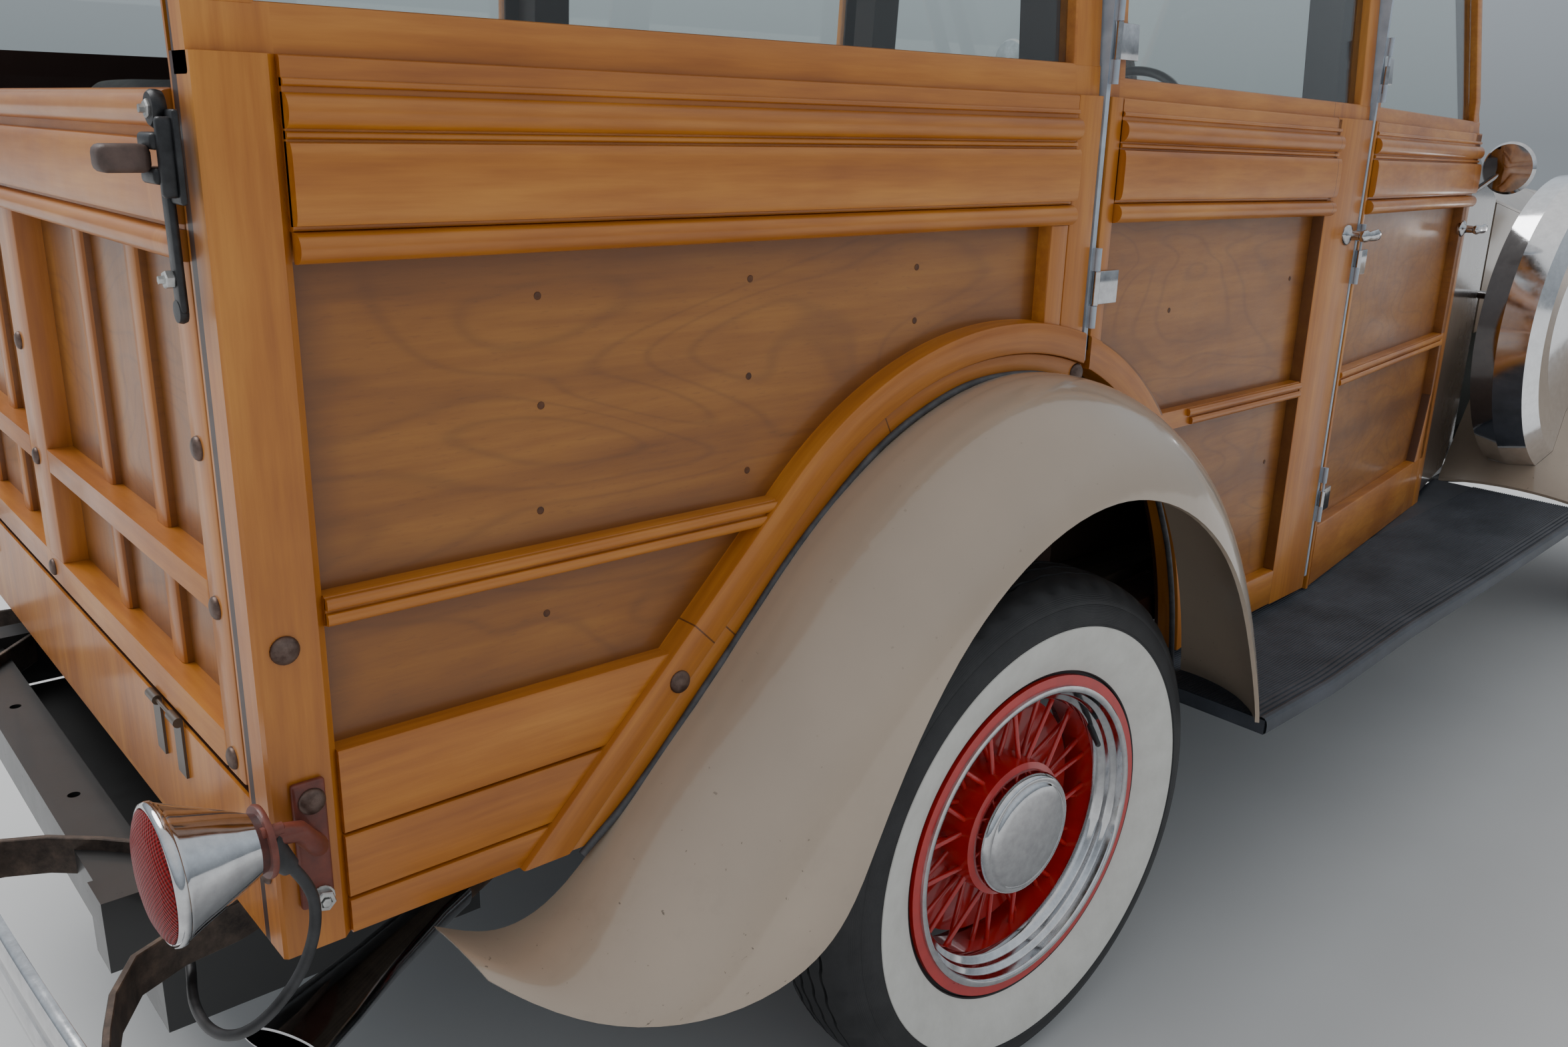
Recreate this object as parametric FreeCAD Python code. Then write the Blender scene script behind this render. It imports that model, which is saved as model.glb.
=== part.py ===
# A wood-bodied station wagon of the middle 1930s, in millimetres: steel chassis, cowl, hood and
# fenders, a framed body of varnished wood with four rear-hinged doors, and a drop tailgate.
# It is drawn in stations: X is measured forward from the rear axle, Y is outward on the left side,
# Z is up from the ground. The right side is the left one mirrored. write() moves each piece to the
# part's own origin, under the middle of the whole vehicle.
import FreeCAD, Part
import math
import os

V = FreeCAD.Vector

# Overall sizes
LENGTH = 4642.0
WIDTH = 1765.0
HEIGHT = 1765.0
WHEELBASE = 2845.0
REAR_OVERHANG = 1100.0
REAR_TRACK = 1480.0
FRONT_TRACK = 1410.0
FRONT_END = LENGTH - REAR_OVERHANG
ORIGIN_X = LENGTH / 2 - REAR_OVERHANG

# Tyres and wire wheels
TYRE_R = 350.0
TYRE_W = 152.0
RIM_R = 203.0
RIM_W = 102.0
FLANGE_R = 220.0
FLANGE_T = 6.0
HUB_R = 92.0
CAP_R = 82.0
DRUM_R = 165.0
DRUM_WALL = 8.0
SPOKES = 32
SPOKE_R = 3.5
SPINDLE_R = 24.0
SPINDLE_FIT = 0.5
KINGPIN_Y = 605.0
HUB_Z = TYRE_R

# Side of the body in plan: half width at the quarter, at the middle posts and at the cowl
TAIL_X = -915.0
C_POST_X = 154.0
B_POST_X = 976.0
A_POST_X = 1790.0
QUARTER_Y = 700.0
B_POST_Y = 640.0
A_POST_Y = 487.0
GAP = 6.0
HINGE_GAP = 18.0
STRIP_W = 8.0
STRIP_FOOT = 942.0
HINGE_OUT = 6.0
KNUCKLE_R = 4.0
PIN_R = 2.0
PIN_FIT = 0.3
KNUCKLE_L = 100.0
REAR_HINGES = (985.0, 1280.0)
FRONT_HINGES = (560.0, 985.0, 1280.0)
END_BEVEL = 4.0
STRAP_L = 56.0
WALL = 45.0
POST_D = 60.0
JOINT = 0.4
FLOOR_BARS = ((-800.0, 560.0), (620.0, 560.0), (1300.0, 500.0), (1740.0, 380.0))

# Levels on the side of the body. Forward of the quarter they fall by BELT_FALL.
BELT_FALL = 0.018
BOTTOM_FALL = 0.012
SILL_TOP = 1266.0
BELT_MOULD = (1214.0, 1240.0)
BELT_RAIL = (1143.0, 1205.0)
HALF_ROUND = (1115.0, 1139.0)
MID_RAIL = (818.0, 845.0)
PLANK_TOP = 705.0
BODY_BOTTOM = 524.0
DOOR_BOTTOM = 444.0
DOOR_RAIL_TOP = 511.0
PANEL_DEPTH = 20.0
STILE = 62.0
FRAME_T = 30.0
FRAME_INSET = 8.0
RAIL_Z = 1590.0
RAIL_H = 36.0
RAIL_END = 5.0
HEADER_T = 50.0
HEADER_HALF = (618.0, 418.0)
TUMBLE = 3.5
GLASS_T = 5.0
GLASS_REBATE = 8.0
WINDOW_BAR = 40.0
RAKE = 25.0
SCREEN_Y = 415.0
SCREEN_POST = 33.0

# Wheel arch of the wood body: an arc, a straight tail behind it and a wider arc before it
ARCH_X = -4.0
ARCH_Z = 517.0
ARCH_R = 486.0
ARCH_BAND = 62.0
ARCH_FRONT_MORE = 214.0

# Fenders and running boards
SHEET = 6.0
SHELL_WALL = 14.0
BOARD_Z = 420.0
BOARD_T = 22.0
FENDER_Y = WIDTH / 2

# Roof, tailgate, hood
ROOF_T = 22.0
ROOF_SIDE_Z = RAIL_Z + RAIL_H
ROOF_SWELL = 7.0
GATE_BOTTOM = 665.0
GATE_TOP = 1241.0
GATE_Y = 645.0
GATE_GAP = 5.0
GATE_AXIS_X = TAIL_X - 5.0
GATE_HINGE_Y = 430.0
COWL_REAR_X = 1796.0
HOOD_REAR_X = 2206.0
HOOD_FRONT_X = 3150.0
SHELL_FRONT_X = 3330.0
HOOD_SHEET = 8.0
HOOD_ROD_R = 3.0
HOOD_ROD_UP = 1.2
HOOD_SPLIT = 0.8
FOLD_IN = 13.0
FOLD_DOWN = 6.4
FOLD_ROD_R = 3.6
FOLD_STRIP = ((-3.0, 0.4), (5.5, 0.4), (5.5, 6.0), (-3.0, 7.0))
HOOD_LOW = 760.0
HOOD_SIDE_TRIM = 14.0
COWL_LOW = 440.0
FLOOR_Z = 520.0
FLOOR_T = 20.0

# Sections of cowl, hood and radiator shell: station, half width, top, fall from top to side
NOSE = ((COWL_REAR_X, 482.0, 1238.0, 42.0), (HOOD_REAR_X, 378.0, 1178.0, 92.0),
        (HOOD_FRONT_X, 215.0, 1090.0, 120.0), (SHELL_FRONT_X, 202.0, 1076.0, 130.0))

# Steering wheel: middle of its rim, and how far its axis leans back from upright
WHEEL_AT = (1470.0, 255.0, 1185.0)
WHEEL_TILT = 60.0

# Chassis
CHASSIS_LOW = 395.0
CHASSIS_TOP = 475.0

# Two bolt holes in the rear cross member, for a tow bar
TOW_X = -960.0
TOW_SPAN = 300.0
TOW_BOLT_R = 7.0

# Spare wheel in the front fender, and its cover
SPARE = (2240.0, 560.0, 800.0)
SPARE_R = 358.0

# Roof sections: station, half width, how far the crown is below the highest point
ROOF_ROWS = ((-970.0, 664.0, 24.0), (-715.0, 688.0, 6.0), (C_POST_X, 688.0, 0.0), (B_POST_X, 632.0, 0.0),
             (A_POST_X - 300, 556.0, 12.0), (A_POST_X - 80, 500.0, 60.0))


def prism(points, across, start, end):
    """Polygon of two coordinates, pulled along the third axis from start to end."""
    place = {"x": lambda a, b: V(start, a, b), "y": lambda a, b: V(a, start, b), "z": lambda a, b: V(a, b, start)}
    pull = {"x": V(end - start, 0, 0), "y": V(0, end - start, 0), "z": V(0, 0, end - start)}
    corners = [place[across](a, b) for a, b in points]
    return Part.Face(Part.makePolygon(corners + corners[:1])).extrude(pull[across])


def block(x0, x1, y0, y1, z0, z1):
    return Part.makeBox(x1 - x0, y1 - y0, z1 - z0, V(x0, y0, z0))


def rod(start, end, radius):
    line = end - start
    return Part.makeCylinder(radius, line.Length, start, line)


def turned(points, axis=V(0, 1, 0)):
    """Solid turned about the Y axis from points of radius and place along the axis."""
    corners = [V(r, a, 0) for r, a in points]
    return Part.Face(Part.makePolygon(corners + corners[:1])).revolve(V(0, 0, 0), axis, 360)


def fused(shapes):
    return shapes[0].multiFuse(shapes[1:]).removeSplitter() if len(shapes) > 1 else shapes[0]


def mirrored(shape):
    return shape.mirror(V(0, 0, 0), V(0, 1, 0))


def pair(shape):
    return Part.makeCompound([shape, mirrored(shape)])


def moved(shape, x=0.0, y=0.0, z=0.0):
    copy = shape.copy()
    copy.translate(V(x, y, z))
    return copy


def tube(points, radius, bend):
    """Round bar along straight runs joined by tangent arcs of one bend radius."""
    edges, at = [], points[0]
    for before, corner, after in zip(points, points[1:], points[2:]):
        back, on = (before - corner).normalize(), (after - corner).normalize()
        half = back.getAngle(on) / 2
        reach = bend / math.tan(half)
        first, last = corner + back * reach, corner + on * reach
        middle = corner + (back + on).normalize() * (bend / math.sin(half) - bend)
        edges += [Part.LineSegment(at, first).toShape(), Part.Arc(first, middle, last).toShape()]
        at = last
    edges.append(Part.LineSegment(at, points[-1]).toShape())
    start = points[1] - points[0]
    ring = Part.Wire(Part.Circle(points[0], start, radius).toShape())
    return Part.Wire(edges).makePipeShell([ring], True, True)


def fall(station):
    """How far the belt and the rails have come down at a station."""
    return BELT_FALL * max(0.0, station - C_POST_X)


def strip_loft(rows, thickness):
    """Sheet through cross sections, each an arc by its inner, middle and outer point."""
    wires = []
    for inner, middle, outer in rows:
        centre = Part.Arc(inner, middle, outer).toShape().Curve.Center
        near = [p + (centre - p).normalize() * thickness for p in (inner, middle, outer)]
        edges = [Part.Arc(inner, middle, outer).toShape(), Part.LineSegment(outer, near[2]).toShape(),
                 Part.Arc(near[2], near[1], near[0]).toShape(), Part.LineSegment(near[0], inner).toShape()]
        wires.append(Part.Wire(edges))
    return Part.makeLoft(wires, True, False)


# Wheels

def tyre():
    half, seat = TYRE_W / 2, RIM_W / 2
    side = [(RIM_R + 1, seat - 1), (FLANGE_R + 3, seat - 1), (FLANGE_R + 30, half - 8),
            (285, half), (316, half - 5), (337, half - 19), (347, half - 42)]
    crown = [(TYRE_R, 0.0)]
    return turned(side + crown + [(r, -a) for r, a in reversed(side)])


def wire_wheel(spokes=SPOKES):
    seat = RIM_W / 2
    outside = [(RIM_R, 38), (RIM_R, seat), (FLANGE_R, seat), (FLANGE_R, seat + FLANGE_T), (RIM_R - 6, seat + FLANGE_T),
               (RIM_R - 6, 42), (RIM_R - 24, 26)]
    rim = turned([(RIM_R - 18, 22)] + outside + [(RIM_R - 24, -26), (RIM_R - 6, -42), (RIM_R - 6, -seat - FLANGE_T),
                 (FLANGE_R, -seat - FLANGE_T), (FLANGE_R, -seat), (RIM_R, -seat), (RIM_R, -38), (RIM_R - 18, -22)])
    bore = SPINDLE_R + SPINDLE_FIT
    hub = turned([(bore, -16), (bore, -46), (bore + 14, -46), (bore + 14, -22), (DRUM_R - DRUM_WALL, -22),
                  (DRUM_R - DRUM_WALL, -62), (DRUM_R, -62), (DRUM_R, -16), (HUB_R, -16), (HUB_R, 30), (CAP_R, 34),
                  (CAP_R, 44), (70, 54), (40, 60), (0, 62), (0, -10), (bore, -10)])
    bars = []
    for i in range(spokes):
        pair_turn = 360.0 / spokes
        lean = 9.0 if i % 2 else -9.0
        foot, head = math.radians(i * pair_turn), math.radians(i * pair_turn + lean)
        low, high = (14.0, 4.0) if (i // 2) % 2 else (-6.0, -4.0)
        bars.append(rod(V((HUB_R - 4) * math.cos(foot), low, (HUB_R - 4) * math.sin(foot)),
                        V((RIM_R - 20) * math.cos(head), high, (RIM_R - 20) * math.sin(head)), SPOKE_R))
    return fused([rim, hub] + bars)


# Doors and sides

def sloped(u0, u1, z0, z1, station, w0, w1, low_share=1.0):
    """Block on the side of the body whose top and bottom follow the fall of the belt."""
    a, b = fall(station + u0), fall(station + u1)
    low = [(u0, z0 - a * low_share), (u1, z0 - b * low_share)]
    return prism(low + [(u1, z1 - b), (u0, z1 - a)], "y", -w0, -w1)


def window_frame(corners, bar):
    """Upper frame of a door or quarter: outline and glass, leaned in about the belt."""
    plate = prism(corners, "y", -FRAME_INSET, -FRAME_INSET - FRAME_T)
    light = inset(corners, bar)
    pane_face = inset(corners, bar - GLASS_REBATE)
    back = FRAME_INSET + (FRAME_T + GLASS_T) / 2
    pane = prism(pane_face, "y", -back + GLASS_T, -back)
    plate = plate.cut(prism(light, "y", 0, -2 * WALL)).cut(pane)
    for shape in (plate, pane):
        shape.rotate(V(0, 0, SILL_TOP), V(1, 0, 0), TUMBLE)
    return plate, pane


def inset(corners, gap):
    """Convex outline drawn in by one gap on every side, its corners given in turning order."""
    count, lines = len(corners), []
    for i in range(count):
        (x0, z0), (x1, z1) = corners[i], corners[(i + 1) % count]
        size = math.hypot(x1 - x0, z1 - z0)
        nx, nz = -(z1 - z0) / size, (x1 - x0) / size
        lines.append((nx, nz, nx * x0 + nz * z0 + gap))
    out = []
    for i in range(count):
        a, b, c = lines[i - 1]
        d, e, f = lines[i]
        det = a * e - b * d
        out.append(((c * e - b * f) / det, (a * f - c * d) / det))
    return out


def belt(u0, u1, station):
    """Belt rail, its cap moulding and the half-round below it."""
    parts = [sloped(u0, u1, BELT_RAIL[0], BELT_RAIL[1], station, -8, 10),
             sloped(u0, u1, BELT_MOULD[0], BELT_MOULD[1], station, -10, 10),
             sloped(u0, u1, HALF_ROUND[0], HALF_ROUND[1], station, -9, 10)]
    return parts


def arch_cut(radius, low, high, y0, y1):
    """Space under the wheel arch: middle arc, straight tail behind, wider arc before it."""
    turn = math.sqrt(0.5)
    rear = V(ARCH_X - radius * turn, 0, ARCH_Z + radius * turn)
    front = V(ARCH_X + radius * turn, 0, ARCH_Z + radius * turn)
    wide = radius + ARCH_FRONT_MORE
    centre = V(front.x - wide * turn, 0, front.z - wide * turn)
    foot = V(centre.x + math.sqrt(wide ** 2 - (low - centre.z) ** 2), 0, low)
    middle_angle = (math.radians(45) + math.asin((low - centre.z) / wide)) / 2
    between = V(centre.x + wide * math.cos(middle_angle), 0, centre.z + wide * math.sin(middle_angle))
    tail = V(rear.x - (rear.z - low), 0, low)
    edges = [Part.LineSegment(tail, rear).toShape(), Part.Arc(rear, V(ARCH_X, 0, ARCH_Z + radius), front).toShape(),
             Part.Arc(front, between, foot).toShape(), Part.LineSegment(foot, tail).toShape()]
    face = Part.Face(Part.Wire(edges))
    face.translate(V(0, y0, 0))
    return face.extrude(V(0, y1 - y0, 0))


def door(station, length, front_gap, front_top_lean, arch, hinges):
    """One door, flat, from its hinge at the rear edge: u forward, outer face at y = 0."""
    u0, u1 = HINGE_GAP / 2, length - front_gap
    body = sloped(u0, u1, DOOR_BOTTOM, SILL_TOP, station, 0, WALL, BOTTOM_FALL / BELT_FALL)
    for low, high in ((DOOR_RAIL_TOP, MID_RAIL[0]), (MID_RAIL[1], HALF_ROUND[0])):
        body = body.cut(sloped(u0 + STILE, u1 - STILE, low, high, station, 0, PANEL_DEPTH))
    if arch:
        cutter = arch_cut(ARCH_R - ARCH_BAND * 0.7, DOOR_BOTTOM - 60, 0, -WALL * 2, WALL * 2)
        cutter.translate(V(-station, 0, 0))
        body = body.cut(cutter)
    low, high = SILL_TOP - 16, RAIL_Z - GAP
    drop0, drop1 = fall(station + u0), fall(station + u1)
    corners = [(u0, low - drop0), (u1, low - drop1), (u1 - front_top_lean, high), (u0, high)]
    frame, pane = window_frame(corners, WINDOW_BAR)
    grip = 1070.0 - drop1
    handle = fused([rod(V(u1 - 32, -4, grip), V(u1 - 32, 38, grip), 8),
                    rod(V(u1 - 32, 38, grip), V(u1 - 122, 38, grip), 8)])
    solid = fused([body, frame] + belt(u0, u1, station))
    for end, sign in ((u0, 1), (u1, -1)):
        solid = solid.cut(prism([(end - sign, 30), (end, 0), (end + sign * END_BEVEL, -WALL), (end + sign * END_BEVEL * 2, -2 * WALL),
                                 (end - sign * 30, -2 * WALL), (end - sign * 30, 30)], "z", 0, HEIGHT))
    straps = []
    for low in hinges:
        z0, z1 = low + KNUCKLE_L * 0.29, low + KNUCKLE_L * 0.71
        straps += [rod(V(0, HINGE_OUT, z0), V(0, HINGE_OUT, z1), KNUCKLE_R),
                   block(0, u0 + STRAP_L, 1, 3.8, z0, z1), block(u0, u0 + STRAP_L, -12, 3.8, z0, z1)]
    whole = fused([solid, handle] + straps)
    for low in hinges:
        whole = whole.cut(rod(V(0, HINGE_OUT, low), V(0, HINGE_OUT, low + KNUCKLE_L), PIN_R + PIN_FIT))
    return whole, pane


def hinge_strip(foot, hinges):
    """Strip in the gap at a hinge post, with the fixed knuckles and pins on its outer edge."""
    half = STRIP_W / 2
    parts = [block(-half, half, -WALL - GAP + 0.8, -2, foot, RAIL_Z)]
    for low in hinges:
        parts.append(rod(V(0, HINGE_OUT, low), V(0, HINGE_OUT, low + KNUCKLE_L), PIN_R))
        for z0, z1 in ((low, low + KNUCKLE_L * 0.28), (low + KNUCKLE_L * 0.72, low + KNUCKLE_L)):
            parts += [rod(V(0, HINGE_OUT, z0), V(0, HINGE_OUT, z1), KNUCKLE_R),
                      block(-2, 2, -4, HINGE_OUT, z0, z1)]
    return fused(parts)


def placed(shape, x0, y0, x1, y1):
    """Flat side piece turned and moved so that it runs from one post to the next."""
    copy = shape.copy()
    copy.rotate(V(0, 0, 0), V(0, 0, 1), math.degrees(math.atan2(y1 - y0, x1 - x0)))
    copy.translate(V(x0, y0, 0))
    return copy


REAR_DOOR = (C_POST_X, QUARTER_Y, B_POST_X, B_POST_Y)
FRONT_DOOR = (B_POST_X, B_POST_Y, A_POST_X, A_POST_Y)


def bisector(before, run):
    """Run from a post in the direction halfway between the sides that meet there."""
    x, y = run[:2]
    back = math.atan2(y - before[1], x - before[0])
    on = math.atan2(run[3] - y, run[2] - x)
    turn = (back + on) / 2
    x += HINGE_OUT * (math.sin(turn) - math.sin(on))
    y -= HINGE_OUT * (math.cos(turn) - math.cos(on))
    return x, y, x + math.cos(turn), y + math.sin(turn)


def length_of(run):
    return math.hypot(run[2] - run[0], run[3] - run[1])


def quarter():
    """Fixed wood side behind the rear door, with its window opening, and its glass."""
    x0, x1 = TAIL_X, C_POST_X - HINGE_GAP / 2
    body = prism([(x0, BODY_BOTTOM), (x1, BODY_BOTTOM), (x1, SILL_TOP), (x0, SILL_TOP)], "y", 0, -WALL)
    for low, high in ((PLANK_TOP, MID_RAIL[0]), (MID_RAIL[1], HALF_ROUND[0])):
        body = body.cut(block(x0 + STILE, x1 - STILE, -PANEL_DEPTH, 1, low, high))
    body = body.cut(arch_cut(ARCH_R - ARCH_BAND, BODY_BOTTOM - 80, 0, -WALL * 2, WALL * 2))
    band = arch_cut(ARCH_R, BODY_BOTTOM, 0, -WALL, 0).cut(arch_cut(ARCH_R - ARCH_BAND, BODY_BOTTOM - 80, 0, -WALL * 2, WALL))
    band = band.common(block(x0, x1, -WALL, 0, BODY_BOTTOM, SILL_TOP))
    corners = [(x0, SILL_TOP - 16), (x1, SILL_TOP - 16), (x1, RAIL_Z), (x0, RAIL_Z)]
    frame, pane = window_frame(corners, WINDOW_BAR + 12)
    side = fused([body, band, frame] + belt(x0, x1, -5000))
    return moved(side, y=QUARTER_Y), moved(pane, y=QUARTER_Y)


def tailgate():
    plate = block(TAIL_X, TAIL_X + WALL, -GATE_Y, GATE_Y, GATE_BOTTOM + GATE_GAP, GATE_TOP)
    bays = ((-GATE_Y + 35, -150), (-90, 90), (150, GATE_Y - 35))
    for y0, y1 in bays:
        for low, high in ((707, 830), (855, 1115)):
            plate = plate.cut(block(TAIL_X - 1, TAIL_X + PANEL_DEPTH, y0, y1, low, high))
    rails = [block(TAIL_X - 8, TAIL_X + 5, -GATE_Y, GATE_Y, 1143, 1205),
             block(TAIL_X - 9, TAIL_X + 5, -GATE_Y, GATE_Y, 1115, 1139)]
    straps = []
    for y in (-GATE_HINGE_Y, GATE_HINGE_Y):
        straps += [rod(V(GATE_AXIS_X, y - 20, GATE_BOTTOM), V(GATE_AXIS_X, y + 20, GATE_BOTTOM), KNUCKLE_R + 1),
                   block(TAIL_X - 3.5, TAIL_X - 1, y - 20, y + 20, GATE_BOTTOM, GATE_BOTTOM + 60),
                   block(TAIL_X - 3.5, TAIL_X + 2, y - 20, y + 20, GATE_BOTTOM + GATE_GAP, GATE_BOTTOM + 60)]
    whole = fused([plate] + rails + straps)
    for y in (-GATE_HINGE_Y, GATE_HINGE_Y):
        whole = whole.cut(rod(V(GATE_AXIS_X, y - 50, GATE_BOTTOM), V(GATE_AXIS_X, y + 50, GATE_BOTTOM), PIN_R + PIN_FIT))
    return whole


def gate_hinge(y):
    """Fixed half of a tailgate hinge: pin, two knuckles and the plate on the rear sill."""
    parts = [rod(V(GATE_AXIS_X, y - 45, GATE_BOTTOM), V(GATE_AXIS_X, y + 45, GATE_BOTTOM), PIN_R)]
    for y0, y1 in ((y - 45, y - 20.5), (y + 20.5, y + 45)):
        parts += [rod(V(GATE_AXIS_X, y0, GATE_BOTTOM), V(GATE_AXIS_X, y1, GATE_BOTTOM), KNUCKLE_R + 1),
                  block(TAIL_X - 3.5, TAIL_X, y0, y1, GATE_BOTTOM - 60, GATE_BOTTOM)]
    return fused(parts)


def lean_in(z):
    """How far the upper body has leaned in at a level above the belt."""
    return (z - SILL_TOP) * math.tan(math.radians(TUMBLE))


def screen_x(z):
    """Station of the windshield's rear face at a level."""
    return COWL_REAR_X + 30 - (z - NOSE[0][2]) * math.tan(math.radians(RAKE))


def windshield_post():
    """Raked post between the windshield and the front door."""
    foot, head = NOSE[0][2] - 73, RAIL_Z
    outline = [(screen_x(foot), foot), (screen_x(foot) + 40, foot), (screen_x(head) + 40, head), (screen_x(head), head)]
    return prism(outline, "y", SCREEN_Y, SCREEN_Y + SCREEN_POST)


def post(x0, x1, y0, y1, low):
    """Upright post that leans in with the side above the belt."""
    lean = lean_in(RAIL_Z)
    high = RAIL_Z - JOINT
    outline = [(y1, low), (y1, SILL_TOP - 16), (y1 - lean, high), (y0 - lean, high), (y0, SILL_TOP - 16), (y0, low)]
    return prism(outline, "x", x0, x1)


def wood_frame():
    """Floor frame, posts, rear sill and roof ring: separate members that meet at hairline joints."""
    back = WALL + GAP
    low = [placed(block(0, length_of(run), -back - POST_D, -back, CHASSIS_TOP, FLOOR_Z), *run)
           for run in (REAR_DOOR, FRONT_DOOR)]
    low += [mirrored(member) for member in low]
    low += [block(x - 25, x + 25, -y, y, CHASSIS_TOP, FLOOR_Z) for x, y in FLOOR_BARS]
    lean = lean_in(RAIL_Z)
    runs = ((TAIL_X, QUARTER_Y, C_POST_X, QUARTER_Y), REAR_DOOR, FRONT_DOOR)
    lengths = [length_of(run) for run in runs[:2]] + [length_of(FRONT_DOOR) - 110]
    ring = [placed(block(RAIL_END, length - RAIL_END, -WALL - lean - 16, -lean - 4, RAIL_Z, RAIL_Z + RAIL_H), *run)
            for run, length in zip(runs, lengths)]
    ring += [mirrored(member) for member in ring]
    hollow = roof_loft(ROOF_T, True)
    for x, half in ((TAIL_X, HEADER_HALF[0]), (screen_x(RAIL_Z) - 5, HEADER_HALF[1])):
        arch = hollow.common(block(x, x + HEADER_T, -half, half, RAIL_Z - 1, HEIGHT))
        ring.append(fused([arch, block(x, x + HEADER_T, -half, half, RAIL_Z, RAIL_Z + RAIL_H)]))
    posts = [post(x - 40, x + 34, y - back - POST_D, y - back, FLOOR_Z + JOINT) for x, y in
             ((C_POST_X, QUARTER_Y), (B_POST_X, B_POST_Y - 4))]
    posts.append(post(TAIL_X, TAIL_X + 60, GATE_Y + GAP, QUARTER_Y - WALL, BODY_BOTTOM))
    foot = block(COWL_REAR_X + 42, COWL_REAR_X + 88, SCREEN_Y - 10, SCREEN_Y + 10, CHASSIS_TOP, NOSE[0][2] - 68)
    posts.append(fused([foot, windshield_post()]).cut(block(1000, 2000, 0, 700, RAIL_Z - JOINT, HEIGHT)))
    sill = block(TAIL_X, TAIL_X + 50, -GATE_Y - GAP + JOINT, GATE_Y + GAP - JOINT, BODY_BOTTOM, GATE_BOTTOM - GATE_GAP)
    rear_sill = fused([sill] + [gate_hinge(y) for y in (-GATE_HINGE_Y, GATE_HINGE_Y)])
    return Part.makeCompound([fused(low), rear_sill] + ring + posts + [mirrored(member) for member in posts])


def roof_loft(depth, filled=False):
    """Roof skin of a depth, or the space below it down to the side rails."""
    wires = []
    for x, y, below in ROOF_ROWS:
        low, high = ROOF_SIDE_Z, HEIGHT - ROOF_SWELL - below
        inner = Part.Arc(V(x, y - depth, low), V(x, 0, high - depth), V(x, depth - y, low)).toShape()
        if filled:
            edges = [inner, Part.LineSegment(V(x, depth - y, low), V(x, y - depth, low)).toShape()]
        else:
            edges = [Part.Arc(V(x, -y, low), V(x, 0, high), V(x, y, low)).toShape(),
                     Part.LineSegment(V(x, y, low), V(x, y - depth, low)).toShape(), inner,
                     Part.LineSegment(V(x, depth - y, low), V(x, -y, low)).toShape()]
        wires.append(Part.Wire(edges))
    return Part.makeLoft(wires, True, False)


def roof():
    return roof_loft(ROOF_T)


# Steel: cowl, hood, fenders

def nose_at(station):
    """Half width, top and side fall of the cowl, hood and shell at a station."""
    for first, last in zip(NOSE, NOSE[1:]):
        if station <= last[0] or last is NOSE[-1]:
            share = (station - first[0]) / (last[0] - first[0])
            return [a + (b - a) * share for a, b in zip(first[1:], last[1:])]


def nose_section(station, low, wall=0.0):
    half, top, drop = nose_at(station)
    w, h = half - wall, top - wall
    side = h - drop
    edges = [Part.LineSegment(V(station, -w, low), V(station, -w, side)).toShape(),
             Part.Arc(V(station, -w, side), V(station, -0.74 * w, h - 0.36 * drop), V(station, 0, h)).toShape(),
             Part.Arc(V(station, 0, h), V(station, 0.74 * w, h - 0.36 * drop), V(station, w, side)).toShape(),
             Part.LineSegment(V(station, w, side), V(station, w, low)).toShape(),
             Part.LineSegment(V(station, w, low), V(station, -w, low)).toShape()]
    return Part.Wire(edges)


def nose_shell(start, end, low, wall):
    """Stretch of the cowl, hood or radiator shell, open below and at both ends."""
    outer = Part.makeLoft([nose_section(start, low), nose_section(end, low)], True, True)
    inner = Part.makeLoft([nose_section(x, low - 30, wall) for x in (start - 1, end + 1)], True, True)
    return outer.cut(inner)


def cowl():
    body = nose_shell(COWL_REAR_X, HOOD_REAR_X - GAP, COWL_LOW, 10)
    body = body.cut(windshield_post()).cut(mirrored(windshield_post()))
    wall = Part.makeLoft([nose_section(x, CHASSIS_TOP, 9) for x in (HOOD_REAR_X - 30, HOOD_REAR_X - 22)], True, True)
    hinge = rod(V(HOOD_REAR_X - GAP - 2, 0, hood_line(HOOD_REAR_X - GAP - 2)),
                V(HOOD_FRONT_X + GAP, 0, hood_line(HOOD_FRONT_X + GAP)), HOOD_ROD_R)
    return fused([body, wall, hinge])


def hood_line(station):
    return nose_at(station)[1] + HOOD_ROD_UP


def hood_shoulder(station):
    half, top, drop = nose_at(station)
    return half, top - drop


def fold_point(station, across=0.0, above=0.0):
    """Point on the line that the hood's side panel folds about, or beside it."""
    half, shoulder = hood_shoulder(station)
    return V(station, half - FOLD_IN + across, shoulder - FOLD_DOWN + above)


def fold_hinge():
    """Rod along the fold, and the fillet strip that joins it to the top panel."""
    ends = (HOOD_REAR_X + HOOD_SIDE_TRIM, HOOD_FRONT_X - GAP)
    strip = []
    for x in ends:
        corners = [fold_point(x, across, above) for across, above in FOLD_STRIP]
        strip.append(Part.makePolygon(corners + corners[:1]))
    return [rod(fold_point(ends[0]), fold_point(ends[1]), FOLD_ROD_R), Part.makeLoft(strip, True, True)]


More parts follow.
